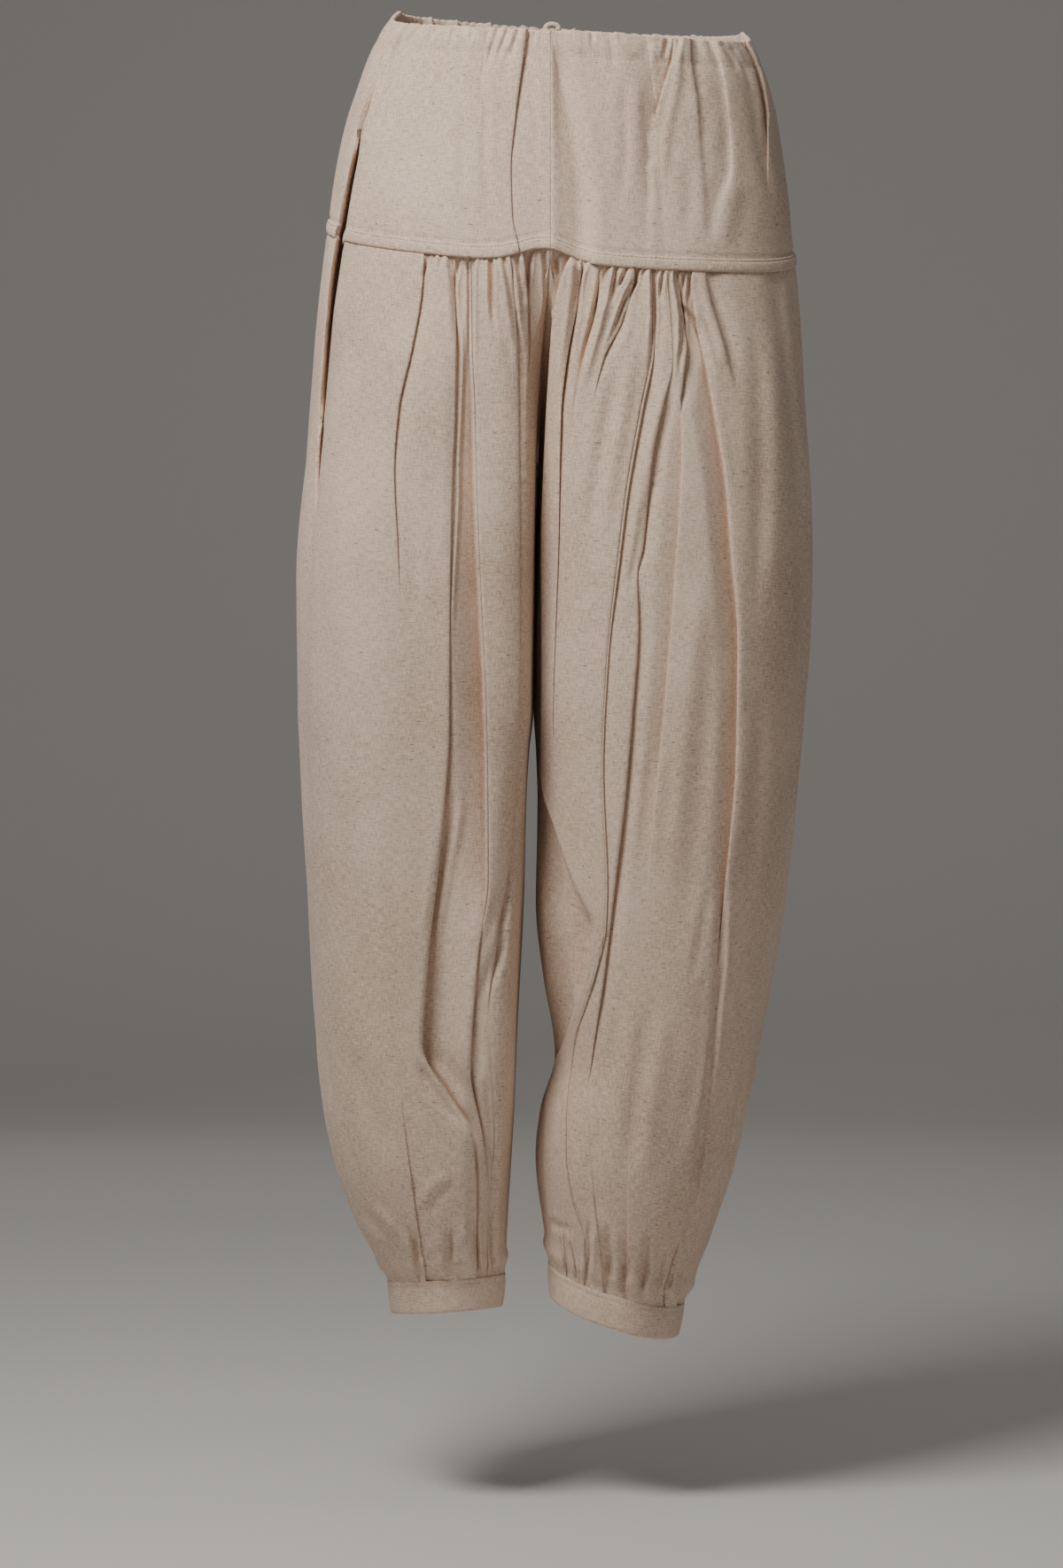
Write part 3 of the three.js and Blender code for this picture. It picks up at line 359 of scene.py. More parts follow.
RIGHT_CREASES = [
    (5.2, 2.2, 0, [(-113, -941), (-114, -928), (-115, -914), (-118, -899)]),
    (5.2, 2.2, 0, [(-90, -938), (-90, -926), (-90, -913), (-92, -893)]),
    (6, 2.2, 0, [(-70, -937), (-71, -923), (-72, -908), (-76, -881)]),
    (3, 1.4, 0, [(-63, -937), (-64, -922), (-65, -909), (-66, -895)]),
    (3.8, 1.6, 0, [(-57, -936), (-58, -922), (-57, -904), (-58, -882)]),
    (3, 1.4, 0, [(-53, -935), (-53, -921), (-51, -906)]),
    (2, 1.3, 1, [(-111, -184), (-113, -191), (-115, -198)]),
    (3, 1.3, 1, [(-105, -184), (-107, -190), (-109, -198), (-111, -208)]),
    (2.8, 1.3, 1, [(-101, -184), (-103, -190), (-106, -198)]),
    (2.6, 1.3, 1, [(-96, -184), (-96, -191), (-97, -198)]),
    (4.2, 1.5, 1, [(-90, -184), (-88, -198), (-87, -213), (-86, -230), (-84, -252), (-84, -277)]),
    (3.6, 1.4, 1, [(-83, -184), (-84, -194), (-86, -205), (-87, -216)]),
    (3.4, 1.3, 1, [(-77, -184), (-76, -194), (-74, -203)]),
    (4.6, 1.6, 1, [(-72, -184), (-74, -198), (-74, -217), (-74, -239), (-74, -261), (-76, -284)]),
    (2.4, 1.2, 1, [(-64, -184), (-63, -191)]),
    (4.4, 1.6, 1, [(-60, -184), (-59, -196), (-59, -214), (-58, -231), (-54, -249)]),
    (2.2, 1.3, 1, [(-56, -184), (-55, -193)]),
    (3.4, 1.7, 1, [(-51, -184), (-48, -196), (-45, -213), (-42, -234), (-36, -258)]),
    (4.6, 1.7, 1, [(-42, -183), (-38, -199), (-36, -218), (-34, -239), (-32, -261)]),
    (-1.6, 3, 0, [(-56, -191), (-52, -213), (-47, -234), (-42, -253), (-39, -275)]),
    (-2.6, 1.4, 0, [(-81, -208), (-80, -230), (-80, -258), (-81, -290), (-83, -335), (-83, -361),
                    (-85, -400), (-87, -438), (-88, -477)]),
    (4.6, 1.6, 1, [(-31, -178), (-32, -193), (-34, -208), (-35, -222)]),
    (5, 1.7, 1, [(-22, -178), (-19, -194), (-18, -220), (-19, -249)]),
    (1.8, 3, 0, [(-86, -571), (-90, -598), (-97, -631), (-103, -669), (-107, -697)]),
    (-1.6, 3, 0, [(-80, -567), (-83, -598), (-90, -634), (-97, -669), (-101, -697)]),
    (1.2, 6, 0, [(-52, -234), (-45, -244), (-39, -270), (-31, -314)]),
    (2.6, 6, 0, [(-38, -541), (-41, -582), (-44, -623), (-47, -648), (-57, -672), (-67, -705)]),
    (2.6, 4, 0, [(-47, -677), (-56, -695), (-63, -713), (-72, -729)]),
    (2.2, 3.5, 0, [(-74, -738), (-71, -763), (-69, -787)]),
    (2.2, 3.5, 0, [(-80, -760), (-74, -792), (-67, -829), (-59, -852), (-54, -878), (-50, -897)]),
    (1.6, 3, 0, [(-63, -783), (-60, -825), (-58, -852)]),
    (2, 3, 0, [(-58, -864), (-62, -891), (-63, -924)]),
    (3.6, 3.5, 0, [(-114, -771), (-104, -791), (-88, -812), (-76, -823)]),
    (-2.6, 4, 0, [(-110, -768), (-96, -783), (-83, -800), (-74, -818)]),
    (2.6, 3, 0, [(-76, -821), (-73, -864), (-72, -924)]),
    (-2.2, 4, 0, [(-89, -853), (-102, -867), (-110, -878), (-112, -886)]),
    (2, 4, 0, [(-92, -861), (-103, -874), (-108, -886)]),
    (-2, 4, 0, [(-147, -882), (-135, -896), (-132, -905)]),
    (2, 4, 0, [(-153, -883), (-143, -899), (-137, -908)]),
    (1.8, 3, 0, [(-123, -892), (-116, -908), (-110, -925)]),
    (1.8, 3, 0, [(-88, -896), (-90, -926)]),
    (1.6, 8, 0, [(-146, -213), (-151, -271), (-156, -335), (-157, -412), (-153, -490)]),
    (-1.6, 9, 0, [(-162, -271), (-169, -348), (-171, -425), (-169, -502)]),
    (1.8, 7, 0, [(-171, -567), (-169, -618), (-161, -683), (-150, -740)]),
    (-1.6, 7, 0, [(-146, -580), (-143, -638), (-138, -695), (-130, -747)]),
    (2, 6, 0, [(-164, -760), (-151, -805), (-133, -843)]),
    (-1.6, 6, 0, [(-143, -753), (-133, -792), (-119, -830)]),
    (1.4, 5, 0, [(-121, -310), (-119, -361), (-115, -412), (-114, -464)]),
    (1.4, 5, 0, [(-139, -702), (-128, -740), (-119, -766)]),
]
LEFT_CREASES = [
    (5, 2.4, 0, [(111, -599), (110, -644), (108, -702), (101, -779), (92, -859), (85, -901),
                 (80, -930), (78, -940)]),
    (3, 1.5, 0, [(-2, -938), (-3, -926), (-4, -913), (-7, -899)]),
    (3.6, 1.6, 0, [(11, -942), (11, -929), (13, -914), (12, -890)]),
    (3.6, 2.8, 0, [(26, -946), (27, -933), (28, -917), (25, -893)]),
    (3, 2.6, 0, [(38, -949), (38, -936), (39, -920)]),
    (5, 2.2, 0, [(50, -953), (52, -939), (54, -920), (56, -897)]),
    (3.2, 2.6, 0, [(62, -955), (63, -942), (66, -924), (68, -910)]),
    (5, 2.2, 0, [(70, -957), (71, -944), (75, -922), (79, -902)]),
    (3.6, 1.4, 1, [(-13, -179), (-12, -189), (-10, -202), (-10, -214)]),
    (2.6, 1.3, 1, [(-6, -179), (-4, -186), (-4, -194)]),
    (3.4, 1.4, 1, [(11, -187), (6, -198), (3, -213), (0, -227)]),
    (4.4, 2.2, 1, [(5, -186), (3, -205), (0, -232), (-4, -258), (-8, -290), (-11, -316)]),
    (2, 1.2, 1, [(17, -187), (18, -193)]),
    (6, 2.3, 1, [(24, -189), (23, -200), (20, -216), (15, -238), (9, -259), (4, -279)]),
    (3, 1.3, 1, [(28, -190), (26, -198)]),
    (4.2, 1.4, 1, [(32, -191), (31, -202), (29, -214), (28, -225)]),
    (3.6, 1.3, 1, [(40, -193), (38, -199), (34, -207), (29, -217)]),
    (4.8, 1.6, 1, [(47, -194), (45, -205), (39, -217), (32, -236), (27, -249), (20, -261)]),
    (2.2, 1.2, 1, [(52, -196), (50, -203)]),
    (4.8, 1.5, 1, [(58, -196), (59, -208), (59, -232), (57, -258), (53, -284)]),
    (2.4, 1.2, 1, [(62, -197), (60, -204)]),
    (3.6, 1.3, 1, [(66, -197), (64, -209), (63, -223)]),
    (2.2, 1.2, 1, [(71, -198), (70, -205)]),
    (5, 1.6, 1, [(75, -198), (77, -211), (80, -229), (80, -248), (78, -263), (78, -288)]),
    (3.6, 1.3, 1, [(81, -200), (80, -209), (79, -222)]),
    (3.6, 1.3, 1, [(85, -201), (85, -211), (84, -221)]),
    (4.2, 1.6, 1, [(79, -222), (84, -227), (90, -234), (95, -247), (100, -268), (104, -290)]),
    (-2, 3, 0, [(90, -200), (97, -217), (106, -244), (113, -271)]),
    (-2, 3.4, 0, [(28, -213), (21, -227), (14, -253), (7, -284)]),
    (-1.6, 3, 0, [(48, -204), (42, -226), (36, -253)]),
    (-2, 4, 0, [(70, -272), (64, -295), (57, -321), (52, -360)]),
    (2, 3, 0, [(56, -348), (52, -375), (47, -403), (41, -427), (37, -435)]),
    (-2, 4, 0, [(66, -541), (62, -574), (59, -607), (60, -633)]),
    (2, 10, 0, [(106, -401), (101, -479), (95, -541), (90, -607), (84, -656), (77, -681), (72, -713)]),
    (-1.6, 8, 0, [(95, -412), (88, -479), (81, -541), (75, -599), (69, -650)]),
    (2, 3, 0, [(99, -646), (92, -689), (87, -715)]),
    (1.5, 3, 0, [(124, -710), (125, -728), (124, -746)]),
    (1.6, 2.5, 0, [(-14, -800), (-7, -809)]),
    (1.6, 2.5, 0, [(-17, -847), (-8, -845)]),
    (2.2, 3, 0, [(-20, -895), (-10, -898), (0, -899)]),
    (3, 4, 0, [(21, -897), (25, -917), (27, -937)]),
    (-1.8, 4, 0, [(14, -895), (16, -917), (18, -935)]),
    (1.6, 3, 0, [(54, -917), (53, -944)]),
    (1.6, 3, 0, [(68, -913), (64, -943)]),
    (1.5, 3, 0, [(38, -901), (39, -943)]),
    (1.4, 6, 0, [(131, -213), (136, -277), (138, -335), (136, -400), (132, -464)]),
    (-1.4, 7, 0, [(145, -245), (150, -310), (150, -374), (146, -438)]),
    (1.6, 6, 0, [(140, -490), (136, -554), (132, -618), (128, -676)]),
    (-1.4, 6, 0, [(128, -515), (124, -580), (123, -631)]),
    (1.6, 5, 0, [(113, -773), (102, -818), (93, -856)]),
    (-1.4, 5, 0, [(99, -779), (88, -824), (79, -863)]),
    (1.6, 5, 0, [(59, -721), (52, -766), (45, -818), (42, -863)]),
    (-1.6, 6, 0, [(68, -728), (63, -773), (55, -824), (52, -869)]),
    (1.5, 5, 0, [(34, -715), (30, -760), (21, -805), (19, -850)]),
    (1.4, 5, 0, [(9, -837), (11, -869), (19, -895)]),
    (2, 5, 0, [(34, -258), (28, -297), (20, -342), (11, -400)]),
    (-1.6, 5, 0, [(45, -245), (37, -290), (28, -335), (19, -387)]),
]

# Creases of the hidden sides, in the same form, on the outer side (y, z) and on the back (x, z)
SIDE_CREASES = [
    (2.0, 7, 1, [(-60, -178), (-64, -300), (-58, -460), (-50, -620)]),
    (-1.8, 8, 0, [(-38, -240), (-36, -380), (-30, -540), (-28, -700)]),
    (2.0, 7, 1, [(-14, -172), (-12, -280), (-4, -430), (2, -600)]),
    (-1.6, 8, 0, [(14, -220), (16, -380), (22, -540)]),
    (2.0, 7, 1, [(42, -170), (46, -300), (44, -470), (38, -640)]),
    (2.2, 5, 0, [(-50, -760), (-36, -840), (-20, -905)]),
    (-1.8, 6, 0, [(-22, -740), (-10, -830), (0, -900)]),
    (2.0, 5, 0, [(24, -750), (20, -840), (12, -910)]),
    (-1.6, 6, 0, [(50, -720), (44, -820), (34, -900)]),
]
YOKE_SIDE_CREASES = [
    (1.4, 5, 0, [(-50, -20), (-54, -90), (-50, -150)]),
    (-1.2, 6, 0, [(-14, -40), (-10, -110), (-12, -160)]),
    (1.4, 5, 0, [(34, -10), (40, -90), (36, -150)]),
]
BACK_CREASES = [
    (2.2, 6, 0, [(-58, -300), (-60, -430), (-64, -560), (-72, -700)]),
    (-1.8, 7, 0, [(-80, -330), (-84, -480), (-92, -640)]),
    (2.2, 7, 0, [(-128, -280), (-140, -420), (-144, -600), (-134, -760)]),
    (-1.8, 8, 0, [(-160, -300), (-168, -460), (-166, -640)]),
    (2.4, 5, 0, [(-70, -800), (-84, -860), (-100, -915)]),
    (-2.0, 5, 0, [(-84, -790), (-98, -850), (-112, -900)]),
    (2.0, 5, 0, [(-120, -820), (-112, -870), (-96, -925)]),
    (2.2, 6, 0, [(14, -300), (10, -430), (12, -560), (22, -700)]),
    (-1.8, 7, 0, [(36, -330), (40, -480), (44, -640)]),
    (2.2, 7, 0, [(88, -280), (104, -420), (102, -600), (84, -760)]),
    (-1.8, 8, 0, [(130, -300), (134, -440), (126, -600)]),
    (2.4, 5, 0, [(20, -800), (34, -860), (46, -915)]),
    (-2.0, 5, 0, [(36, -790), (50, -850), (60, -900)]),
    (2.0, 5, 0, [(74, -820), (64, -870), (44, -925)]),
]

# Gathers and other small relief: the distance between waves, how far they run, and their depth
BACK_GATHERS = dict(pitch=7.5, run=34, depth=1.7)
SIDE_GATHERS = dict(pitch=9, run=16, depth=0.5)
CUFF_GATHERS = dict(pitch=6.8, run=22, depth=2.1)
WAIST_GATHERS = dict(pitch=11, run=22, depth=0.7)
BAND_LINE = dict(depth=1.0, width=1.1)  # the pressed line over the band of the yoke
PUCKER = dict(pitch=3.4, run=6, depth=0.22)  # the finest waves, right at a seam
# Where the gathers behind and at the side lie round a leg: start, its fade, end, its fade
BEHIND, AT_SIDE = (0.56, 0.08, 0.97, 0.03), (0.3, 0.06, 0.6, 0.06)
PHASES = dict(leg=3.7, leg_pucker=1.9, waist=5.1, waist_pucker=2.3)  # so that no two rows are alike
YOKE_TUCK = dict(depth=0.9, width=1.8)  # the groove of a leg's cloth right under the yoke
CUFF_SWELL = dict(depth=2.4, above=12, width=7)  # the fullness over a cuff
CASING_SWELL = dict(depth=0.7, below=9, width=6)  # the fullness of the cord in its casing
GIRTH = 560.0  # the way round a leg, or half of the yoke, that small gathers are spread along

# The grids: how far apart rows lie by a seam and in the middle, and columns in each kind of stretch
LEG_FALL, YOKE_FALL = 760, 178
LEG_ROW_STEP = dict(seam=1.3, middle=4.4, reach=110)
YOKE_ROW_STEP = dict(seam=1.6, middle=3.4, reach=30)
COLUMN_STEP = dict(plain=3.7, gathered=0.64, behind=1.4, gathered_to=0.24, least=0.1)
FOLD_COLUMNS = 7

SEAM_DIP = dict(depth=0.6, width=1.1)  # the groove where two panels of a leg meet
YOKE_SEAM = 0.4  # how far the yoke's cloth ends below its foot's line
LEG_TUCK, CUFF_TUCK = 0.5, 1.5  # how far a leg's cloth goes up under the yoke, and down into its cuff
CUFF_GAP = 0.3  # how far a cuff starts below the line of its seam
SCALLOP = dict(depth=1.3, pitch=12)  # the waves of the waist's edge
ROLL = 1.9  # radius of a turned edge
CLEAR = 0.03  # the gap between pieces that meet at a seam
WEAVE_FOLLOWS = 0.35  # how far the weave follows each row's own length, and not the middle row's
BAND_SEAT = 1.0  # how far the band's foot lies below the yoke's
# The band's section: a share of its height, or millimetres where it is below the foot, and its lift
BAND_SECTION = [
    (-0.7, 0), (-0.35, 0.75), (0, 1.15), (0.08, 1.45), (0.2, 1.6), (0.4, 1.65), (0.6, 1.55), (0.72, 1.4),
    (0.78, 1.0), (0.83, 0.7), (0.88, 1.0), (0.94, 1.2), (0.98, 1.0), (1, 0.5), (1.01, -0.3),
]
CUFF = dict(girth=330, columns=240, roll=1.25, wall=0.9, seam=4.2)  # roll is that of its edges
STITCH = dict(wide=0.3, high=0.26, ahead=0.6)  # half its width and height, and the reach of its aim
CORD_RADIUS = 2.2
LOOSE_THREADS = [(-3.4, 0.4, -0.6), (-1.2, 1.2, 0.2), (1.4, 0.8, 0.7), (3.2, 0.2, -0.3)]  # x, z, lean

# The weave: where slubs and flecks begin in their noise, how fast they grow, and the tone of threads
WEAVE = dict(slub_from=0.69, slub_gain=6.0, fleck_from=0.765, fleck_gain=16.0, tone=1.1, slub_tone=0.15)
SHADE = dict(weave=1.7, middle=0.66, mottle=0.3, mean=0.65)  # from the deep colour, 0, to the lit, 1
FLOOR = dict(size=7, wide=1.6, far=3.6, bend=1.2, climb=2.5)  # flat, then bent up to a wall far behind
WARM, COOL, NEAR_WARM = (1.0, 0.98, 0.96), (0.97, 0.98, 1.0), (1.0, 0.985, 0.96)


def ease(v):
    v = np.clip(v, 0, 1)
    return v * v * (3 - 2 * v)


def leaning(v):
    """A slope that is nearly straight, and soft at its ends."""
    return 0.65 * np.clip(v, 0, 1) + 0.35 * ease(v)


def mix(a, b, t):
    return a + (b - a) * t


def bell(v, width):
    """1 at the middle, and close to 0 at twice the width."""
    return np.exp(-((v / width) ** 2))


def between(v, low, low_fade, high, high_fade):
    """1 between low and high, with soft ends."""
    return ease((v - low) / low_fade) * ease((high - v) / high_fade)


def uneven(k):
    """A number from 0 to 1 that looks random, the same each time."""
    v = np.sin(np.asarray(k, float) * 12.9898) * 43758.5453
    return v - np.floor(v)


def curve(keys, values):
    """A smooth curve through the keys and values that never overshoots."""
    keys, values = np.array(keys, float), np.array(values, float)
    if keys[0] > keys[-1]:
        keys, values = keys[::-1], values[::-1]
    rise = np.diff(values) / np.diff(keys)
    a, b = rise[:-1], rise[1:]
    inner = np.where(a * b > 0, 2 * a * b / np.where(a + b == 0, 1, a + b), 0)
    slope = np.concatenate([rise[:1], inner, rise[-1:]])

    def at(key):
        i = np.clip(np.searchsorted(keys, key) - 1, 0, len(keys) - 2)
        span = keys[i + 1] - keys[i]
        t = np.clip((key - keys[i]) / span, 0, 1)
        straight = mix(values[i], values[i + 1], t * t * (3 - 2 * t))
        return straight + span * t * (1 - t) * (slope[i] * (1 - t) - slope[i + 1] * t)

    return at


def column(rows, k):
    return curve([r[0] for r in rows], [r[k] for r in rows])


front_at, back_at = column(SIDE_VIEW, 1), column(SIDE_VIEW, 2)
inner_round, outer_round = column(SIDE_VIEW, 3), column(SIDE_VIEW, 4)
parted_at = column(PARTING, 1)


class Half:
    """One half of the garment: its outlines and the height of its edges."""

    def __init__(self, side, outline, cuff_edge):
        self.side = side
        self.outer, self.inner = column(outline, 1), column(outline, 2)
        self.cuff_edge = cuff_edge

    def ring_angle(self, u, z):
        seam = self.side * CENTRE_SEAM_X
        share = np.abs(seam / self.outer(z)) ** (outer_round(z) / 2)
        start = np.sign(seam) * np.arcsin(share)
        return mix(start, np.pi - start, u)

    def ring_point(self, u, z):
        angle, bend = self.ring_angle(u, z), outer_round(z)
        middle = (front_at(z) + back_at(z)) / 2
        depth = (back_at(z) - front_at(z)) / 2
        x = self.side * np.abs(self.outer(z)) * power(np.sin(angle), bend)
        return x, middle - depth * power(np.cos(angle), bend)

    def leg_point(self, s, z):
        angle = 2 * np.pi * s
        middle = (self.outer(z) + self.inner(z)) / 2
        reach = np.abs(self.outer(z) - self.inner(z)) / 2
        flat = FLAT_INNER[self.side] * between(z, *FLAT_SPAN) * (np.sin(angle) > 0)
        bend = np.where(np.cos(angle) > 0, inner_round(z) + flat, outer_round(z))
        deep = (back_at(z) - front_at(z)) / 2
        x = middle - self.side * reach * power(np.cos(angle), bend)
        return x, (front_at(z) + back_at(z)) / 2 - deep * power(np.sin(angle), bend)

    def edge(self, edge, angle):
        facing = np.cos(angle)
        turned = np.hypot(facing, SIDE_SOFTNESS) - SIDE_SOFTNESS
        share = turned / (math.hypot(1, SIDE_SOFTNESS) - SIDE_SOFTNESS)
        swing = np.where(facing > 0, edge["front"] * share ** edge["bow"], edge["back"] * share)
        return edge["mean"] + edge["tilt"] * self.side * np.sin(angle) + swing

    def waist(self, u):
        return self.edge(WAIST_EDGE, self.ring_angle(u, np.zeros_like(u)))

    def yoke_foot(self, u):
        z = np.full_like(u, YOKE_FOOT["mean"])
        height = self.edge(YOKE_FOOT, self.ring_angle(u, z))
        off = self.ring_point(u, z)[0] - YOKE_FOOT_LIFT["x"]
        lift = YOKE_FOOT_LIFT["height"] * bell(off, YOKE_FOOT_LIFT["reach"])
        return height + np.where(u < 0.5, lift, 0)

    def cuff(self, s):
        edge, facing = self.cuff_edge, np.sin(2 * np.pi * s)
        lift = np.where(facing > 0, edge["front"] * facing, -edge["back"] * facing)
        return edge["mean"] + edge["tilt"] * np.cos(2 * np.pi * s) + lift


def power(v, bend):
    return np.sign(v) * np.abs(v) ** (2 / bend)


def ring_share(s):
    """The point of the ring that the point s of a leg hangs from."""
    near = np.clip(2 * s, 0, 1) ** HIP_TO_LEG
    far = np.clip(2 - 2 * s, 0, 1) ** HIP_TO_LEG
    return np.where(s < 0.5, 0.5 * near, 1 - 0.5 * far)


class Fold:
    """One fold of a body: its place, depth and width at each height."""

    def __init__(self, body, face, row):
        self.reach, self.seam = row["reach"], row.get("seam", False)
        self.least = row.get("edge", EDGE["least"])
        self.deep = curve(row["z"], row["depth"])
        levels = np.linspace(body.top, body.foot, 260)
        wanted = curve(row["z"], row["x"])(levels)
        near = np.full_like(levels, 0.01 if face == FRONT else 0.99)
        far = np.full_like(levels, 0.5)
        for _ in range(26):
            s = (near + far) / 2
            short = (body.at(s, levels)[0] - wanted) * body.half.side < 0
            near, far = np.where(short, s, near), np.where(short, far, s)
        places = (near + far) / 2
        runs = body.run(places, levels)
        up = levels[::-1]
        self.place = lambda z: np.interp(z, up, places[::-1])
        self.run = lambda z: np.interp(z, up, runs[::-1])
        self.out = 1 if face == FRONT else -1

    def width(self, z):
        return np.maximum(self.least, np.minimum(EDGE["most"], EDGE["share"] * np.abs(self.deep(z))))

    def rise(self, run, z):
        """How far the cloth rises off its body beside the fold, and slides along it."""
        depth = self.deep(z)
        way = np.where(depth < 0, -1, 1) * self.out
        depth, width = np.abs(depth), self.width(z)
        past = (run - self.run(z)) * way
        swell = np.minimum(SWELL["most"], SWELL["share"] * depth)
        before = swell * np.exp(np.minimum(past, 0) / SWELL["reach"])
        across = np.clip(past / width, 0, 1)
        after = -depth * (1 - leaning((past - width) / self.reach))
        rise = np.where(past < 0, before, np.where(past < width, mix(swell, -depth, ease(across)), after))
        most = np.minimum(OVERHANG["most"], OVERHANG["share"] * depth)
        slide = most * np.sin(2 * np.pi * across) * way
        pinch = PINCH["share"] * depth * bell(past - width, PINCH["width"])
        return rise - np.minimum(pinch, PINCH["most"]), slide


NEAR_CORNER = np.geomspace(1e-8, 2e-3, 30)
PLACES = np.unique(np.clip(np.concatenate(
    [np.linspace(0, 1, 601)] + [k / 4 + side * NEAR_CORNER for k in range(5) for side in (-1, 1)]), 0, 1))


class Body:
    """A smooth form that cloth lies on, with its folds and creases. s runs round it from 0 to 1."""

    STEP = 0.003  # how far to each side the form's direction is measured

    def __init__(self, half, at, top, foot, folds, creases, gathers):
        self.half, self.at, self.top, self.foot = half, at, top, foot
        self.levels = np.linspace(top, foot, 160)
        x, y = at(*np.meshgrid(PLACES, self.levels))
        steps = np.hypot(np.diff(x, axis=1), np.diff(y, axis=1))
        self.runs = np.concatenate([np.zeros((len(x), 1)), np.cumsum(steps, axis=1)], axis=1)
        self.creases, self.gathers = creases, gathers
        self.plain = not folds[FRONT]
        self.folds = [[Fold(self, face, row) for row in folds[face]] for face in (FRONT, BACK)]

    def run(self, s, z):
        """The distance round the body from its centre seam in front to the point s."""
        level = np.clip((z - self.top) / (self.foot - self.top), 0, 0.99999) * (len(self.levels) - 1)
        i = level.astype(int)
        k = np.clip(np.searchsorted(PLACES, s, side="right") - 1, 0, len(PLACES) - 2)
        t = np.clip((s - PLACES[k]) / (PLACES[k + 1] - PLACES[k]), 0, 1)
        rows = [mix(self.runs[j, k], self.runs[j, k + 1], t) for j in (i, i + 1)]
        return mix(rows[0], rows[1], level - i)

    def place_at(self, run, z):
        """The point s that lies at a distance round the body."""
        near, far = np.zeros_like(run), np.ones_like(run)
        for _ in range(24):
            middle = (near + far) / 2
            short = self.run(middle, z) < run
            near, far = np.where(short, middle, near), np.where(short, far, middle)
        return (near + far) / 2

    def frame(self, s, z):
        """The direction round the body, the one out of it, and the length per unit of s there."""
        low, high = np.maximum(0, s - self.STEP), np.minimum(1, s + self.STEP)
        ax, ay = self.at(low, z)
        bx, by = self.at(high, z)
        length = np.hypot(bx - ax, by - ay)
        tx, ty = (bx - ax) / length, (by - ay) / length
        return (tx, ty), (self.half.side * ty, -self.half.side * tx), length / (high - low)

    def point(self, s, z, off=0):
        """The cloth's point and its outward normal, moved out by off."""
        x, y = self.at(s, z)
        (tx, ty), (nx, ny), _ = self.frame(s, z)
        run = self.run(s, z)
        rise, slide = self.folded(s, z, run)
        rise += self.gathers(s, z)
        calm = self.calm(s, z, run)
        rise, slide = rise * calm, slide * calm
        rise += self.creased(x, y, z, nx, ny) * mix(CREASED_AT_CENTRE, 1, calm)
        rise += sway(x, y, z) * calm
        rise, slide = self.sewn(s, z, rise, slide)
        slit = self.slit(s, x, z)
        straight = ease((np.abs(ny) - 0.3) / 0.4)
        ux, uy = nx * (1 - straight), mix(ny, np.sign(ny), straight)
        x = x + ux * rise + nx * off + tx * slide
        return x, y + uy * rise + ny * off + ty * slide + slit, z, (nx, ny)

    def relief(self, s, z):
        """How far the cloth rises off the smooth form, with its folds and creases but no slit."""
        _, (nx, ny), _ = self.frame(s, z)
        x, y = self.at(s, z)
        run = self.run(s, z)
        calm = self.calm(s, z, run)
        creased = self.creased(x, y, z, nx, ny) * mix(CREASED_AT_CENTRE, 1, calm)
        return self.folded(s, z, run)[0] * calm + creased + sway(x, y, z) * calm

    def folded(self, s, z, run):
        """How far all the folds lift the cloth, and slide it."""
        rise, slide = np.zeros_like(run), np.zeros_like(run)
        for face in (FRONT, BACK):
            on = s < 0.5 if face == FRONT else s >= 0.5
            for fold in self.folds[face]:
                up, along = fold.rise(run, z)
                rise += np.where(on, up, 0)
                slide += np.where(on, along, 0)
        return rise, slide

    def calm(self, s, z, run):
        """0 at the centre seams, where both halves meet, and 1 away from them."""
        return ease(np.minimum(run, self.run(np.ones_like(s), z) - run) / CENTRE_CALM)

    def sewn(self, s, z, rise, slide):
        return rise, slide

    def slit(self, s, x, z):
        """How far the side pleat's slit goes in, away from the front."""
        if self.half.side == LEFT or self.plain:
            return 0
        gap = (x - SLIT_AT(z)) / SLIT_WIDTH(z)
        inside = (s < 0.5) & (np.abs(gap) < 1)
        return np.where(inside, SLIT_DEPTH(z) * (1 - np.clip(gap, -1, 1) ** 2) ** 1.5, 0)

    def creased(self, x, y, z, nx, ny):
        total = np.zeros_like(x)
        for across, weight, rows in (
            (x, ease(-1.8 * ny), self.creases["front"]),
            (x, ease(1.8 * ny), self.creases["back"]),
            (y, ease(1.8 * nx * self.half.side - 0.2), self.creases["side"]),
        ):
            for row in rows:
                total += weight * trough(across, z, *row)
        return total


SLIT_AT, SLIT_WIDTH, SLIT_DEPTH = (column(SIDE_SLIT, k) for k in (1, 2, 3))


class LegBody(Body):
    """A leg, which is sewn under the yoke's foot and into its cuff."""

    def sewn(self, s, z, rise, slide):
        u = ring_share(s)
        foot = self.half.yoke_foot(u)
        below, above = foot - z, z - self.half.cuff(s)
        under = 1 - ease(below / SEWN["reach"])
        near = under > 0
        held = np.zeros_like(rise)
        if near.any():
            held[near] = self.half.yoke.relief(u[near], foot[near])
        rise = mix(rise, held + np.clip(rise - held, SEWN["low"], SEWN["under_yoke"]), under)
        tucked = 1 - ease(above / SEWN["reach"])
        rise = mix(rise, np.clip(rise, SEWN["low"], SEWN["in_cuff"]), tucked)
        return rise, slide * (1 - SEWN["still"] * np.maximum(under, tucked))


CREASE_END, SEAM_CREASE_END = 0.25, 0.6  # the share of a crease's length over which it fades
CREASE_LIP = dict(share=0.3, away=2.1, width=0.9)  # the low rims beside a crease, in its half widths


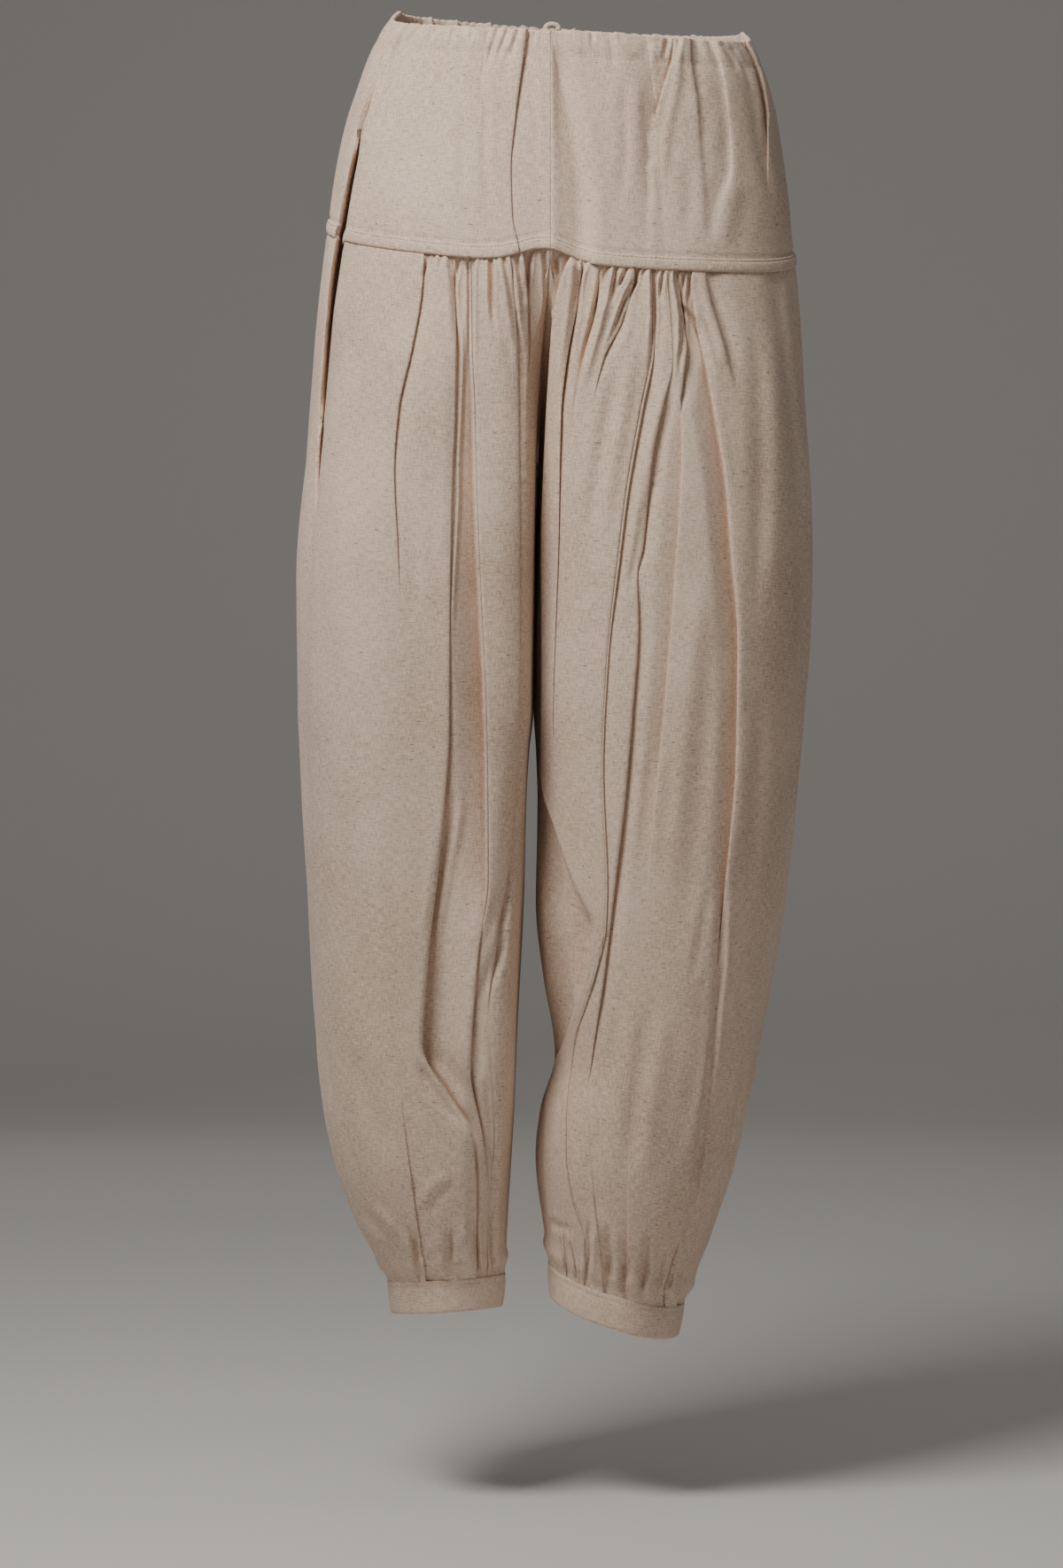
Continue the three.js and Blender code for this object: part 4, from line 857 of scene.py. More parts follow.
def trough(across, z, depth, width, seam, points):
    """A soft trough along the points, or a ridge if its depth is negative. It fades at both ends,
    or only at its last one where it starts in a seam."""
    points = np.array(points, float)
    runs = np.hypot(*np.diff(points, axis=0).T)
    length = runs.sum()
    low, high = points.min(axis=0) - 4 * width, points.max(axis=0) + 4 * width
    near = (across > low[0]) & (across < high[0]) & (z > low[1]) & (z < high[1])
    total = np.zeros_like(across)
    px, pz = across[near], z[near]
    if not px.size:
        return total
    best, share = np.full(px.shape, 1e9), np.zeros(px.shape)
    done = 0.0
    for a, b, run in zip(points[:-1], points[1:], runs):
        t = np.clip(((px - a[0]) * (b[0] - a[0]) + (pz - a[1]) * (b[1] - a[1])) / run**2, 0, 1)
        gap = np.hypot(px - mix(a[0], b[0], t), pz - mix(a[1], b[1], t))
        closer = gap < best
        best = np.where(closer, gap, best)
        share = np.where(closer, (done + t * run) / length, share)
        done += run
    start = 1 if seam else ease(share / CREASE_END)
    fade = start * ease((1 - share) / (SEAM_CREASE_END if seam else CREASE_END))
    lip = CREASE_LIP["share"] * bell(best - CREASE_LIP["away"] * width, CREASE_LIP["width"] * width)
    total[near] = -depth * fade * (bell(best, width) - lip)
    return total


def sway(x, y, z):
    """The slow unevenness of hanging cloth."""
    return (
        0.9 * np.sin(x / 31 + 1.3 * np.sin(z / 97)) * np.sin(z / 83 + y / 41)
        + 0.45 * np.sin(x / 17 - z / 61 + 1.7) * np.sin(y / 19 + z / 47)
    )


def pleats(run_mm, pitch, phase_key):
    """Small gathers by their distance along a seam: smooth cloth between narrow valleys."""
    phase = run_mm / pitch + 0.28 * np.sin(run_mm / (2.3 * pitch) + phase_key)
    k = np.floor(phase)
    rough = mix(uneven(phase_key + k), uneven(phase_key + k + 1), ease(phase - k))
    return (np.abs(np.sin(np.pi * phase)) ** 0.6 - 0.75) * (0.45 + 0.9 * rough), rough


def leg_gathers(half):
    def rise(s, z):
        run = s * GIRTH
        below = half.yoke_foot(ring_share(s)) - z
        above = z - half.cuff(s)
        total = 0
        for gathers, weight, away in (
            (BACK_GATHERS, between(s, *BEHIND), below),
            (SIDE_GATHERS, between(s, *AT_SIDE), below),
            (CUFF_GATHERS, 1, above),
        ):
            wave, rough = pleats(run, gathers["pitch"], PHASES["leg"] * half.side)
            fade = np.exp(-np.maximum(away, 0) / (gathers["run"] * (0.45 + 1.1 * rough)))
            total = total + weight * gathers["depth"] * wave * fade
        wave, _ = pleats(run, PUCKER["pitch"], PHASES["leg_pucker"] * half.side)
        for away in (below, above):
            total = total + PUCKER["depth"] * wave * np.exp(-np.maximum(away, 0) / PUCKER["run"])
        tuck = YOKE_TUCK["depth"] * bell(np.maximum(below, 0), YOKE_TUCK["width"])
        return total - tuck + CUFF_SWELL["depth"] * bell(above - CUFF_SWELL["above"], CUFF_SWELL["width"])

    return rise


def waist_gathers(half):
    def rise(s, z):
        run = s * GIRTH
        below = np.maximum(half.waist(s) - z, 0)
        wave, rough = pleats(run, WAIST_GATHERS["pitch"], PHASES["waist"] * half.side)
        total = WAIST_GATHERS["depth"] * wave * np.exp(-below / (WAIST_GATHERS["run"] * (0.5 + rough)))
        wave, _ = pleats(run, PUCKER["pitch"], PHASES["waist_pucker"] * half.side)
        to_casing, to_band = below - CASING_DEPTH, z - half.yoke_foot(s) - BAND_TOP
        total += 1.6 * PUCKER["depth"] * wave * np.exp(-np.abs(to_casing) / 5)
        total += 0.8 * PUCKER["depth"] * wave * np.exp(-np.abs(to_band) / 4)
        total -= BAND_LINE["depth"] * bell(to_band - 1, BAND_LINE["width"])
        groove = 0.8 * bell(to_casing, 1.2) + 0.7 * bell(to_band, 0.9)
        swell = CASING_SWELL["depth"] * bell(below - CASING_SWELL["below"], CASING_SWELL["width"])
        return total + swell - groove

    return rise


def creases(front, back, side):
    return dict(front=front, back=back, side=side)


def make_half(side, outline, cuff_edge, yoke, leg):
    half = Half(side, outline, cuff_edge)

    def leg_at(s, z):
        u = ring_share(s)
        parted = parted_at(np.maximum(0, half.yoke_foot(u) - z))
        rx, ry = half.ring_point(u, z)
        lx, ly = half.leg_point(s, z)
        return mix(rx, lx, parted), mix(ry, ly, parted)

    half.yoke = Body(half, half.ring_point, 20, -200, *yoke, waist_gathers(half))
    half.leg = LegBody(half, leg_at, -140, -965, *leg, leg_gathers(half))
    half.plain_leg = Body(half, leg_at, -900, -990, ([], []), creases([], [], []), lambda s, z: 0 * s)
    return half


right_half = make_half(
    RIGHT, RIGHT_OUTLINE, RIGHT_CUFF_EDGE,
    ([YOKE_RIGHT_FRONT, YOKE_RIGHT_BACK], creases(YOKE_RIGHT_CREASES, [], YOKE_SIDE_CREASES)),
    ([RIGHT_FRONT, RIGHT_BACK], creases(RIGHT_CREASES, BACK_CREASES, SIDE_CREASES)),
)
left_half = make_half(
    LEFT, LEFT_OUTLINE, LEFT_CUFF_EDGE,
    ([YOKE_LEFT_FRONT, YOKE_LEFT_BACK], creases(YOKE_LEFT_CREASES, [], YOKE_SIDE_CREASES)),
    ([LEFT_FRONT, LEFT_BACK], creases(LEFT_CREASES, BACK_CREASES, SIDE_CREASES)),
)
HALVES = {"right": right_half, "left": left_half}


def detail():
    return 1.0


def face_columns(body, face, height_at, rows):
    """Columns of one face for every row, from the centre outwards, aligned with its folds.
    Gives an array of places and the numbers of the columns that are seams."""
    out, start = (1, 0.0) if face == FRONT else (-1, 1.0)

    def edge_at(place):
        place = np.full(rows, place)
        z = height_at(place)
        return body.run(place, z), z, False

    edges = [edge_at(start)]
    for fold in body.folds[face]:
        place = np.full(rows, (start + 0.5) / 2)
        for _ in range(5):
            z = height_at(place)
            place = fold.place(z)
        run = body.run(place, z)
        other = run + fold.width(z) * np.where(fold.deep(z) < 0, -1, 1) * out
        first, second = np.minimum(run * out, other * out), np.maximum(run * out, other * out)
        first = np.maximum(first, edges[-1][0] * out + COLUMN_STEP["least"])
        second = np.maximum(second, first + COLUMN_STEP["least"])
        edges += [(first * out, z, fold.seam), (second * out, z, "foot")]
    edges.append(edge_at(0.5))
    columns, seams, count = [np.full((rows, 1), start)], [], 0
    for (a, za, _), (b, zb, mark) in zip(edges[:-1], edges[1:]):
        span = np.abs(b - a)
        if mark == "foot":
            steps = FOLD_COLUMNS
        else:
            near_centre = np.abs(body.place_at(b[:1], zb[:1])[0] - start) < COLUMN_STEP["gathered_to"]
            fine = COLUMN_STEP["gathered" if face == FRONT else "behind"]
            steps = span.max() / COLUMN_STEP["plain"]
            if near_centre:
                steps = max(steps, span[0] / fine)
        steps = max(2, int(math.ceil(steps / detail())))
        share = np.linspace(0, 1, steps + 1)[1:]
        runs, z = mix(a[:, None], b[:, None], share), mix(za[:, None], zb[:, None], share)
        columns.append(body.place_at(runs, z))
        count += steps
        if mark is True:
            seams.append(count)
    return np.concatenate(columns, axis=1), seams


def ring_columns(body, height_at, rows):
    front, front_seams = face_columns(body, FRONT, height_at, rows)
    back, back_seams = face_columns(body, BACK, height_at, rows)
    places = np.concatenate([front, back[:, -2::-1]], axis=1)
    last = places.shape[1] - 1
    return places, front_seams + [last - k for k in back_seams]


def row_shares(length, step):
    """Shares of a length for its rows, close together near both ends."""
    run = np.linspace(0, length, 2000)
    to_end = np.minimum(run, length - run)
    pace = mix(step["seam"], step["middle"], ease(to_end / step["reach"])) * detail()
    total = np.concatenate([[0], np.cumsum(np.diff(run) / pace[1:])])
    return np.interp(np.linspace(0, total[-1], int(math.ceil(total[-1])) + 1), total, run) / length


def smooth_mesh(bm, name):
    mesh = bpy.data.meshes.new(name)
    bm.to_mesh(mesh)
    bm.free()
    mesh.polygons.foreach_set("use_smooth", np.ones(len(mesh.polygons), bool))
    return mesh


def sheet_mesh(name, points, normals, uv, closed=False):
    """A grid moved to points, an array of rows, columns and x, y, z in millimetres."""
    rows, columns = points.shape[:2]
    bm = bmesh.new()
    bmesh.ops.create_grid(bm, x_segments=columns - 1, y_segments=rows - 1, size=0.5)
    mesh = smooth_mesh(bm, name)
    flat = np.empty(len(mesh.vertices) * 3)
    mesh.vertices.foreach_get("co", flat)
    place = flat.reshape(-1, 3) + 0.5
    c = np.rint(place[:, 0] * (columns - 1)).astype(int)
    r = np.rint(place[:, 1] * (rows - 1)).astype(int)
    mesh.vertices.foreach_set("co", (points[r, c] * MM).ravel())
    mesh.update()
    corner = np.empty(len(mesh.loops), int)
    mesh.loops.foreach_get("vertex_index", corner)
    layer = mesh.uv_layers.new(name="weave")
    layer.data.foreach_set("uv", (uv[r, c][corner] * MM).ravel())
    facing = np.empty(len(mesh.polygons) * 3)
    mesh.polygons.foreach_get("normal", facing)
    middle = normals[r[corner[::4]], c[corner[::4]]]
    if (facing.reshape(-1, 3)[:, :2] * middle).sum() < 0:
        mesh.flip_normals()
    if closed:
        bm = bmesh.new()
        bm.from_mesh(mesh)
        bmesh.ops.remove_doubles(bm, verts=bm.verts, dist=1e-6)
        bm.to_mesh(mesh)
        bm.free()
    mesh.update()
    return mesh


def add_piece(mesh, material, thickness=0.0):
    piece = bpy.data.objects.new(mesh.name, mesh)
    bpy.context.scene.collection.objects.link(piece)
    mesh.materials.append(material)
    if thickness:
        wall = piece.modifiers.new("Wall", "SOLIDIFY")
        wall.thickness = thickness
        wall.offset = -1
        wall.use_quality_normals = True
    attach(piece, "root")
    return piece


def build_yoke(side, half, cotton, sizes):
    """A yoke panel: its outer face, its turned waist edge and the inner face of its casing."""
    body = half.yoke
    rows = row_shares(YOKE_FALL, YOKE_ROW_STEP)
    turn = [math.radians(a) for a in (180, 150, 120, 90, 60, 30)]
    under = np.linspace(CASING_DEPTH, 1, 9)
    shares = np.concatenate([np.zeros(len(under) + len(turn)), rows])

    def level(u, share=shares, scallop=0):
        return mix(half.waist(u) - ROLL + scallop, half.yoke_foot(u) - YOKE_SEAM, share)

    drop = np.concatenate([under, [-ROLL * math.sin(a) for a in turn], np.zeros(len(rows))])
    inset = [ROLL - ROLL * math.cos(a) for a in turn]
    inset = np.concatenate([np.full(len(under), 2 * ROLL), inset, np.zeros(len(rows))])
    places, _ = ring_columns(body, level, len(shares))
    waves, _ = pleats(GIRTH * places, SCALLOP["pitch"], PHASES["waist"] * half.side)
    heights = level(places, shares[:, None], SCALLOP["depth"] * waves)
    places = held_back(body, places, heights)
    lifted = heights - drop[:, None]
    inset = np.repeat(inset[:, None], places.shape[1], axis=1)
    x, y, _, normal = body.point(places, heights, 0.6 * ease((shares[:, None] - 0.9) / 0.08))
    x, y = x - normal[0] * inset, y - normal[1] * inset
    piece = finish_sheet("yoke_cloth_" + side, x, y, lifted, normal, cotton, sizes.cloth)
    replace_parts(piece, "yoke_" + side)
    build_band(side, half, places[-1], cotton, sizes)


def build_band(side, half, foot, cotton, sizes):
    """The strip along the yoke's foot, with rounded long edges."""
    tall = sizes.band_height / MM
    across, lift = np.array(BAND_SECTION).T
    up = np.where(across < 0, across, across * tall)
    heights = half.yoke_foot(foot)[None] - BAND_SEAT + up[:, None]
    rows = np.repeat(foot[None], len(across), axis=0)
    x, y, z, normal = half.yoke.point(rows, heights, lift[:, None] + 0.1)
    piece = finish_sheet("yoke_band_cloth_" + side, x, y, z, normal, cotton, sizes.cloth)
    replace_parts(piece, "yoke_band_" + side)


def held_back(body, places, heights):
    """Pulls the first and last columns just clear of the seams beside them."""
    kept = places.copy()
    for edge, way in ((0, 1), (-1, -1)):
        kept[:, edge] += way * CLEAR / body.frame(places[:, edge], heights[:, edge])[2]
    return kept


def finish_sheet(name, x, y, z, normal, material, thickness, closed=False):
    """Makes a piece of the points, with its weave laid out by the lengths along its rows and down it."""
    flat = np.hypot(np.diff(x, axis=1, prepend=x[:, :1]), np.diff(y, axis=1, prepend=y[:, :1]))
    run = np.cumsum(flat, axis=1)
    run -= run[:, run.shape[1] // 2][:, None]
    smooth = np.repeat(run[len(run) // 2][None], len(run), axis=0)
    middle = z.shape[1] // 2
    fall = np.abs(np.diff(z[:, middle], prepend=z[0, middle]))
    v = np.repeat(-np.cumsum(fall)[:, None], z.shape[1], axis=1)
    points = np.stack([x, y, z], axis=2)
    uv = np.stack([mix(smooth, run, WEAVE_FOLLOWS), v], axis=2)
    mesh = sheet_mesh(name, points, np.stack(normal, axis=2), uv, closed)
    return add_piece(mesh, material, thickness)


LEG_PANELS = {
    "gusset_front_": dict(flat=(0.15, 0.78), area=0.109),
    "leg_panel_": dict(flat=(0.56, 0.8), area=0.42),
    "gusset_back_": dict(flat=(0.15, 0.78), area=0.109),
}


def build_leg(side, half, cotton, sizes):
    """Three panels round a leg, each a shell between two seams."""
    body = half.leg
    shares = row_shares(LEG_FALL, LEG_ROW_STEP)

    def level(s, share=shares):
        return mix(half.yoke_foot(ring_share(s)) + LEG_TUCK, half.cuff(s) - CUFF_TUCK, share)

    places, seams = ring_columns(body, level, len(shares))
    cuts = [0, *seams, places.shape[1] - 1]
    for (name, cut), a, b in zip(LEG_PANELS.items(), cuts[:-1], cuts[1:]):
        part = places[:, a:b + 1]
        heights = level(part, shares[:, None])
        part = held_back(body, part, heights)
        x, y, z, normal = body.point(part, heights)
        to_seam = np.full(part.shape, 1e3)
        for edge, sewn in ((0, a != 0), (-1, b != cuts[-1])):
            if sewn:
                to_seam = np.minimum(to_seam, np.hypot(x - x[:, [edge]], y - y[:, [edge]]))
        dip = SEAM_DIP["depth"] * bell(to_seam, SEAM_DIP["width"])
        x, y = x - normal[0] * dip, y - normal[1] * dip
        piece = finish_sheet(name + "cloth_" + side, x, y, z, normal, cotton, sizes.cloth)
        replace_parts(piece, name + side)


def build_cuff(side, half, cotton, sizes):
    """A cuff: a doubled band round the ankle with rolled edges and a pressed crease outside."""
    body, roll = half.plain_leg, CUFF["roll"]
    tall = sizes.cuff_height / MM - 0.4
    turn = [math.radians(a) for a in (180, 140, 100, 60, 25)]
    outer = np.linspace(0, 1, 17)[1:-1]
    down = [12, 6, *(roll - roll * math.sin(a) for a in turn), *(roll + (tall - 2 * roll) * outer)]
    inset = [2 * roll, 2 * roll, *(roll - roll * math.cos(a) for a in turn), *np.zeros(len(outer))]
    down += [tall - roll + roll * math.sin(a) for a in reversed(turn)] + [tall - 6, tall - 11]
    inset += [roll - roll * math.cos(a) for a in reversed(turn)] + [2 * roll, 2 * roll]
    down, inset = np.array(down)[:, None], np.array(inset)[:, None]
    s = np.repeat(np.linspace(0, 1, CUFF["columns"] + 1)[None], len(down), axis=0)
    z = half.cuff(s) - CUFF_GAP - down
    x, y = body.at(s, z)
    _, normal, _ = body.frame(s, z)
    run = s * CUFF["girth"]
    soft = 0.35 * np.sin(run / 9 + 2 * half.side) + 0.25 * np.sin(run / 4.3 + down / 9)
    belly = np.sin(np.pi * np.clip(down / tall, 0, 1))
    rise = belly * (0.5 + 0.4 * soft) - 0.5 * bell(down - CUFF["seam"], 1.1) + 0.2 - inset
    x, y = x + normal[0] * rise, y + normal[1] * rise
    piece = finish_sheet("cuff_cloth_" + side, x, y, z, normal, cotton, CUFF["wall"] * MM, closed=True)
    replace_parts(piece, "cuff_" + side)


def stitch_line(name, body, places, heights, off, thread, sizes):
    """A row of short stitches along a line on a body."""
    x, y, z, (nx, ny) = body.point(places, heights, off)
    line = np.stack([x, y, z], axis=1)
    run = np.concatenate([[0], np.cumsum(np.linalg.norm(np.diff(line, axis=0), axis=1))])
    pitch, length = sizes.stitch_pitch / MM, sizes.stitch_length / MM
    at = np.arange(pitch, run[-1] - pitch, pitch)
    centre, ahead = (np.stack([np.interp(place, run, axis) for axis in line.T], axis=1)
                     for place in (at, at + STITCH["ahead"]))
    nx, ny = np.interp(at, run, nx), np.interp(at, run, ny)
    bm = bmesh.new()
    for k in range(len(at)):
        along = Vector(ahead[k] - centre[k]).normalized()
        out = Vector((nx[k], ny[k], 0)).normalized()
        side = out.cross(along).normalized()
        turn = Matrix((along, side, along.cross(side))).transposed().to_4x4()
        size = Matrix.Diagonal((0.5 * length, STITCH["wide"], STITCH["high"], 1))
        place = Matrix.Translation(Vector(centre[k])) @ turn @ size
        bmesh.ops.create_icosphere(bm, subdivisions=1, radius=1, matrix=Matrix.Scale(MM, 4) @ place)
    add_piece(smooth_mesh(bm, name), thread)


def build_stitching(thread, sizes):
    """Stitches along each band, each casing and each cuff."""
    s = np.linspace(0.004, 0.996, 900)
    for side, half in HALVES.items():
        band = half.yoke_foot(s) - BAND_SEAT + 0.84 * sizes.band_height / MM
        for name, body, heights, off in (
            ("band_stitches_", half.yoke, band, 1.0),
            ("casing_stitches_", half.yoke, half.waist(s) - CASING_DEPTH, 0.05),
            ("cuff_stitches_", half.plain_leg, half.cuff(s) - 4.5, -0.12),
        ):
            stitch_line(name + side, body, s, heights, off, thread, sizes)


def build_loop(thread):
    """The end of the cord: a small soft loop over the waist edge, with a few loose threads."""
    low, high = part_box("cord_loop")
    middle = (low + high) / 2
    wide, tall = (high.x - low.x) / 2, high.z - low.z
    bm = bmesh.new()
    cord = CORD_RADIUS * MM
    ring = bmesh.ops.create_circle(bm, segments=14, radius=cord)["verts"]
    bmesh.ops.scale(bm, vec=(1, 0.9, 1), verts=ring)
    bmesh.ops.translate(bm, vec=(wide - cord, 0, 0), verts=ring)
    edges = list({e for v in ring for e in v.link_edges})
    bmesh.ops.spin(bm, geom=ring + edges, cent=(0, 0, 0), axis=(0, -1, 0), dvec=(0, 0, 0),
                   angle=math.pi, steps=36, use_duplicate=False)
    for v in bm.verts:
        angle = math.atan2(v.co.z, v.co.x)
        wave = 0.12 * math.sin(9 * angle + 40 * v.co.y / (wide + MM))
        v.co.z = v.co.z * (tall - cord) / wide + wave * MM
        v.co.x += 0.5 * MM * math.sin(2.2 * angle)
        v.co.y += 0.25 * MM * math.sin(3 * angle)
    bmesh.ops.contextual_create(bm, geom=[e for e in bm.edges if e.is_boundary])
    for x, z, lean in LOOSE_THREADS:
        bmesh.ops.create_cone(
            bm, cap_ends=True, segments=6, radius1=0.32 * MM, radius2=0.12 * MM, depth=4.6 * MM,
            matrix=Matrix.Translation((x * MM, -0.4 * MM, (z + 1.6) * MM)) @ Matrix.Rotation(lean, 4, "Y"),
        )
    bmesh.ops.recalc_face_normals(bm, faces=bm.faces)
    bmesh.ops.translate(bm, vec=(middle.x, middle.y, low.z), verts=bm.verts)
    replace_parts(add_piece(smooth_mesh(bm, "cord_loop_soft"), thread), "cord_loop")


def add_node(tree, kind, **values):
    node = tree.nodes.new(kind)
    for key, value in values.items():
        if key in node.inputs:
            node.inputs[key].default_value = value
        else:
            setattr(node, key, value)
    return node


def maths(tree, operation, a, b=None, clamp=False):
    node = tree.nodes.new("ShaderNodeMath")
    node.operation, node.use_clamp = operation, clamp
    for k, value in enumerate((a, b)):
        if value is None:
            continue
        if isinstance(value, (int, float)):
            node.inputs[k].default_value = value
        else:
            tree.links.new(value, node.inputs[k])
    return node.outputs[0]


def noise_on(tree, where, scale, detail, rough):
    """Noise by the place on the object."""
    noise = add_node(tree, "ShaderNodeTexNoise", Scale=scale, Detail=detail, Roughness=rough)
    tree.links.new(where.outputs["Object"], noise.inputs["Vector"])
    return noise.outputs["Fac"]


def bumped(tree, height, strength, distance):
    bump = add_node(tree, "ShaderNodeBump", Strength=strength, Distance=distance)
    tree.links.new(height, bump.inputs["Height"])
    return bump


def new_material(name):
    """A material, its node tree and its main shader."""
    material = bpy.data.materials.new(name)
    material.use_nodes = True
    return material, material.node_tree, material.node_tree.nodes["Principled BSDF"]


def stretched_noise(tree, vector, x, y, detail, rough):
    """Noise drawn out along one direction, as threads are."""
    mapping = add_node(tree, "ShaderNodeMapping")
    mapping.inputs["Scale"].default_value = (x, y, 1)
    tree.links.new(vector, mapping.inputs["Vector"])
    noise = add_node(tree, "ShaderNodeTexNoise", Scale=1.0, Detail=detail, Roughness=rough)
    tree.links.new(mapping.outputs["Vector"], noise.inputs["Vector"])
    return noise.outputs["Fac"]


def handloom_group():
    """Handloom cloth: threads both ways, slubs and specks, by a flat place on the cloth in metres."""
    group = bpy.data.node_groups.new("handloom", "ShaderNodeTree")
    group.interface.new_socket(name="Cloth Place", in_out="INPUT", socket_type="NodeSocketVector")
    for name, default in (("Threads", 1100.0), ("Slub", 0.5), ("Specks", 0.5)):
        socket = group.interface.new_socket(name=name, in_out="INPUT", socket_type="NodeSocketFloat")
        socket.default_value = default
    for name in ("Height", "Tone", "Speck"):
        group.interface.new_socket(name=name, in_out="OUTPUT", socket_type="NodeSocketFloat")
    inside, outside = add_node(group, "NodeGroupInput"), add_node(group, "NodeGroupOutput")
    place = inside.outputs["Cloth Place"]
    scaled = add_node(group, "ShaderNodeVectorMath", operation="SCALE")
    group.links.new(place, scaled.inputs[0])
    group.links.new(inside.outputs["Threads"], scaled.inputs["Scale"])
    warp = stretched_noise(group, scaled.outputs[0], 1.0, 0.16, 2.0, 0.6)
    weft = stretched_noise(group, scaled.outputs[0], 0.14, 1.0, 2.0, 0.6)
    slub_warp = stretched_noise(group, place, 900, 45, 1.0, 0.4)
    slub_weft = stretched_noise(group, place, 40, 800, 1.0, 0.4)
    slubs = maths(group, "MAXIMUM", slub_warp, slub_weft)
    slubs = maths(group, "SUBTRACT", slubs, WEAVE["slub_from"], True)
    slubs = maths(group, "MULTIPLY", slubs, WEAVE["slub_gain"], True)
    slubs = maths(group, "MULTIPLY", slubs, inside.outputs["Slub"])
    threads = maths(group, "ADD", warp, weft)
    height = maths(group, "ADD", maths(group, "MULTIPLY", threads, 0.5), slubs)
    group.links.new(height, outside.inputs["Height"])
    tone = maths(group, "MULTIPLY", maths(group, "SUBTRACT", threads, 1.0), WEAVE["tone"])
    tone = maths(group, "SUBTRACT", tone, maths(group, "MULTIPLY", slubs, WEAVE["slub_tone"]))
    group.links.new(tone, outside.inputs["Tone"])
    fleck = stretched_noise(group, place, 190, 620, 0.0, 0.5)
    fleck = maths(group, "SUBTRACT", fleck, WEAVE["fleck_from"], True)
    fleck = maths(group, "MULTIPLY", fleck, WEAVE["fleck_gain"], True)
    group.links.new(maths(group, "MULTIPLY", fleck, inside.outputs["Specks"]), outside.inputs["Speck"])
    return group


def cloth_material(name, group, colours, bump, specks):
    material, tree, shader = new_material(name)
    uv = add_node(tree, "ShaderNodeUVMap", uv_map="weave")
    weave = tree.nodes.new("ShaderNodeGroup")
    weave.node_tree = group
    weave.inputs["Specks"].default_value = specks
    tree.links.new(uv.outputs["UV"], weave.inputs["Cloth Place"])
    where = add_node(tree, "ShaderNodeTexCoord")
    mottle = maths(tree, "MULTIPLY", noise_on(tree, where, 42.0, 4.0, 0.65), SHADE["mottle"])
    patches = maths(tree, "ADD", mottle, noise_on(tree, where, 9.0, 3.0, 0.55))
    patches = maths(tree, "SUBTRACT", patches, SHADE["mean"])
    threads = maths(tree, "MULTIPLY", weave.outputs["Tone"], SHADE["weave"])
    shade = maths(tree, "ADD", patches, maths(tree, "ADD", threads, SHADE["middle"]), True)
    base = add_node(tree, "ShaderNodeMix", data_type="RGBA")
    colour_sockets(base, colours.deep, colours.lit)
    tree.links.new(shade, base.inputs[0])
    spotted = add_node(tree, "ShaderNodeMix", data_type="RGBA")
    colour_sockets(spotted, colours.lit, colours.speck)
    tree.links.new(base.outputs[2], spotted.inputs[6])
    tree.links.new(weave.outputs["Speck"], spotted.inputs[0])
    tree.links.new(spotted.outputs[2], shader.inputs["Base Color"])
    crumpled = bumped(tree, noise_on(tree, where, 70.0, 4.0, 0.6), 0.35, 0.0012)
    fine = bumped(tree, weave.outputs["Height"], bump, 0.0004)
    tree.links.new(crumpled.outputs["Normal"], fine.inputs["Normal"])
    tree.links.new(fine.outputs["Normal"], shader.inputs["Normal"])
    rough = maths(tree, "ADD", maths(tree, "MULTIPLY", weave.outputs["Tone"], 0.05), 0.9, True)
    tree.links.new(rough, shader.inputs["Roughness"])
    shader.inputs["Specular IOR Level"].default_value = 0.2
    shader.inputs["Sheen Weight"].default_value = 0.12
    shader.inputs["Sheen Roughness"].default_value = 0.6
    return material


def colour_sockets(node, a, b):
    """Sets the two colours of a mix of colours."""
    node.inputs[6].default_value = (*a, 1)
    node.inputs[7].default_value = (*b, 1)


def thread_material(colours):
    material, tree, shader = new_material("sewing_thread")
    twist = noise_on(tree, add_node(tree, "ShaderNodeTexCoord"), 900.0, 2.0, 0.6)
    base = add_node(tree, "ShaderNodeMix", data_type="RGBA")
    colour_sockets(base, colours.deep, colours.lit)
    tree.links.new(twist, base.inputs[0])
    tree.links.new(base.outputs[2], shader.inputs["Base Color"])
    tree.links.new(bumped(tree, twist, 0.4, 0.0002).outputs["Normal"], shader.inputs["Normal"])
    shader.inputs["Roughness"].default_value = 0.85
    return material


class SalwarSizes(bpy.types.PropertyGroup):
    """Sizes of the cloth and sewing."""
    cloth: bpy.props.FloatProperty(
        name="Cloth", description="Thickness of one layer of cloth", default=0.0008, min=0.0003,
        unit="LENGTH")
    band_height: bpy.props.FloatProperty(
        name="Band height", description="Height of the band at the foot of the yoke", default=0.009,
        unit="LENGTH")
    cuff_height: bpy.props.FloatProperty(
        name="Cuff height", description="Height of an ankle cuff", default=0.025, unit="LENGTH")
    stitch_length: bpy.props.FloatProperty(
        name="Stitch length", description="Length of one stitch", default=0.0022, unit="LENGTH")
    stitch_pitch: bpy.props.FloatProperty(
        name="Stitch pitch", description="Distance from one stitch to the next", default=0.0031,
        unit="LENGTH")


class SalwarColours(bpy.types.PropertyGroup):
    """Colours of the cloth."""
    lit: bpy.props.FloatVectorProperty(
        name="Cotton", description="Undyed cotton", default=(0.80, 0.62, 0.49), size=3, subtype="COLOR")
    deep: bpy.props.FloatVectorProperty(
        name="Deeper threads", description="The darker threads", default=(0.45, 0.32, 0.225), size=3,
        subtype="COLOR")
    speck: bpy.props.FloatVectorProperty(
        name="Specks", description="Seed specks in the yarn", default=(0.16, 0.10, 0.055), size=3,
        subtype="COLOR")


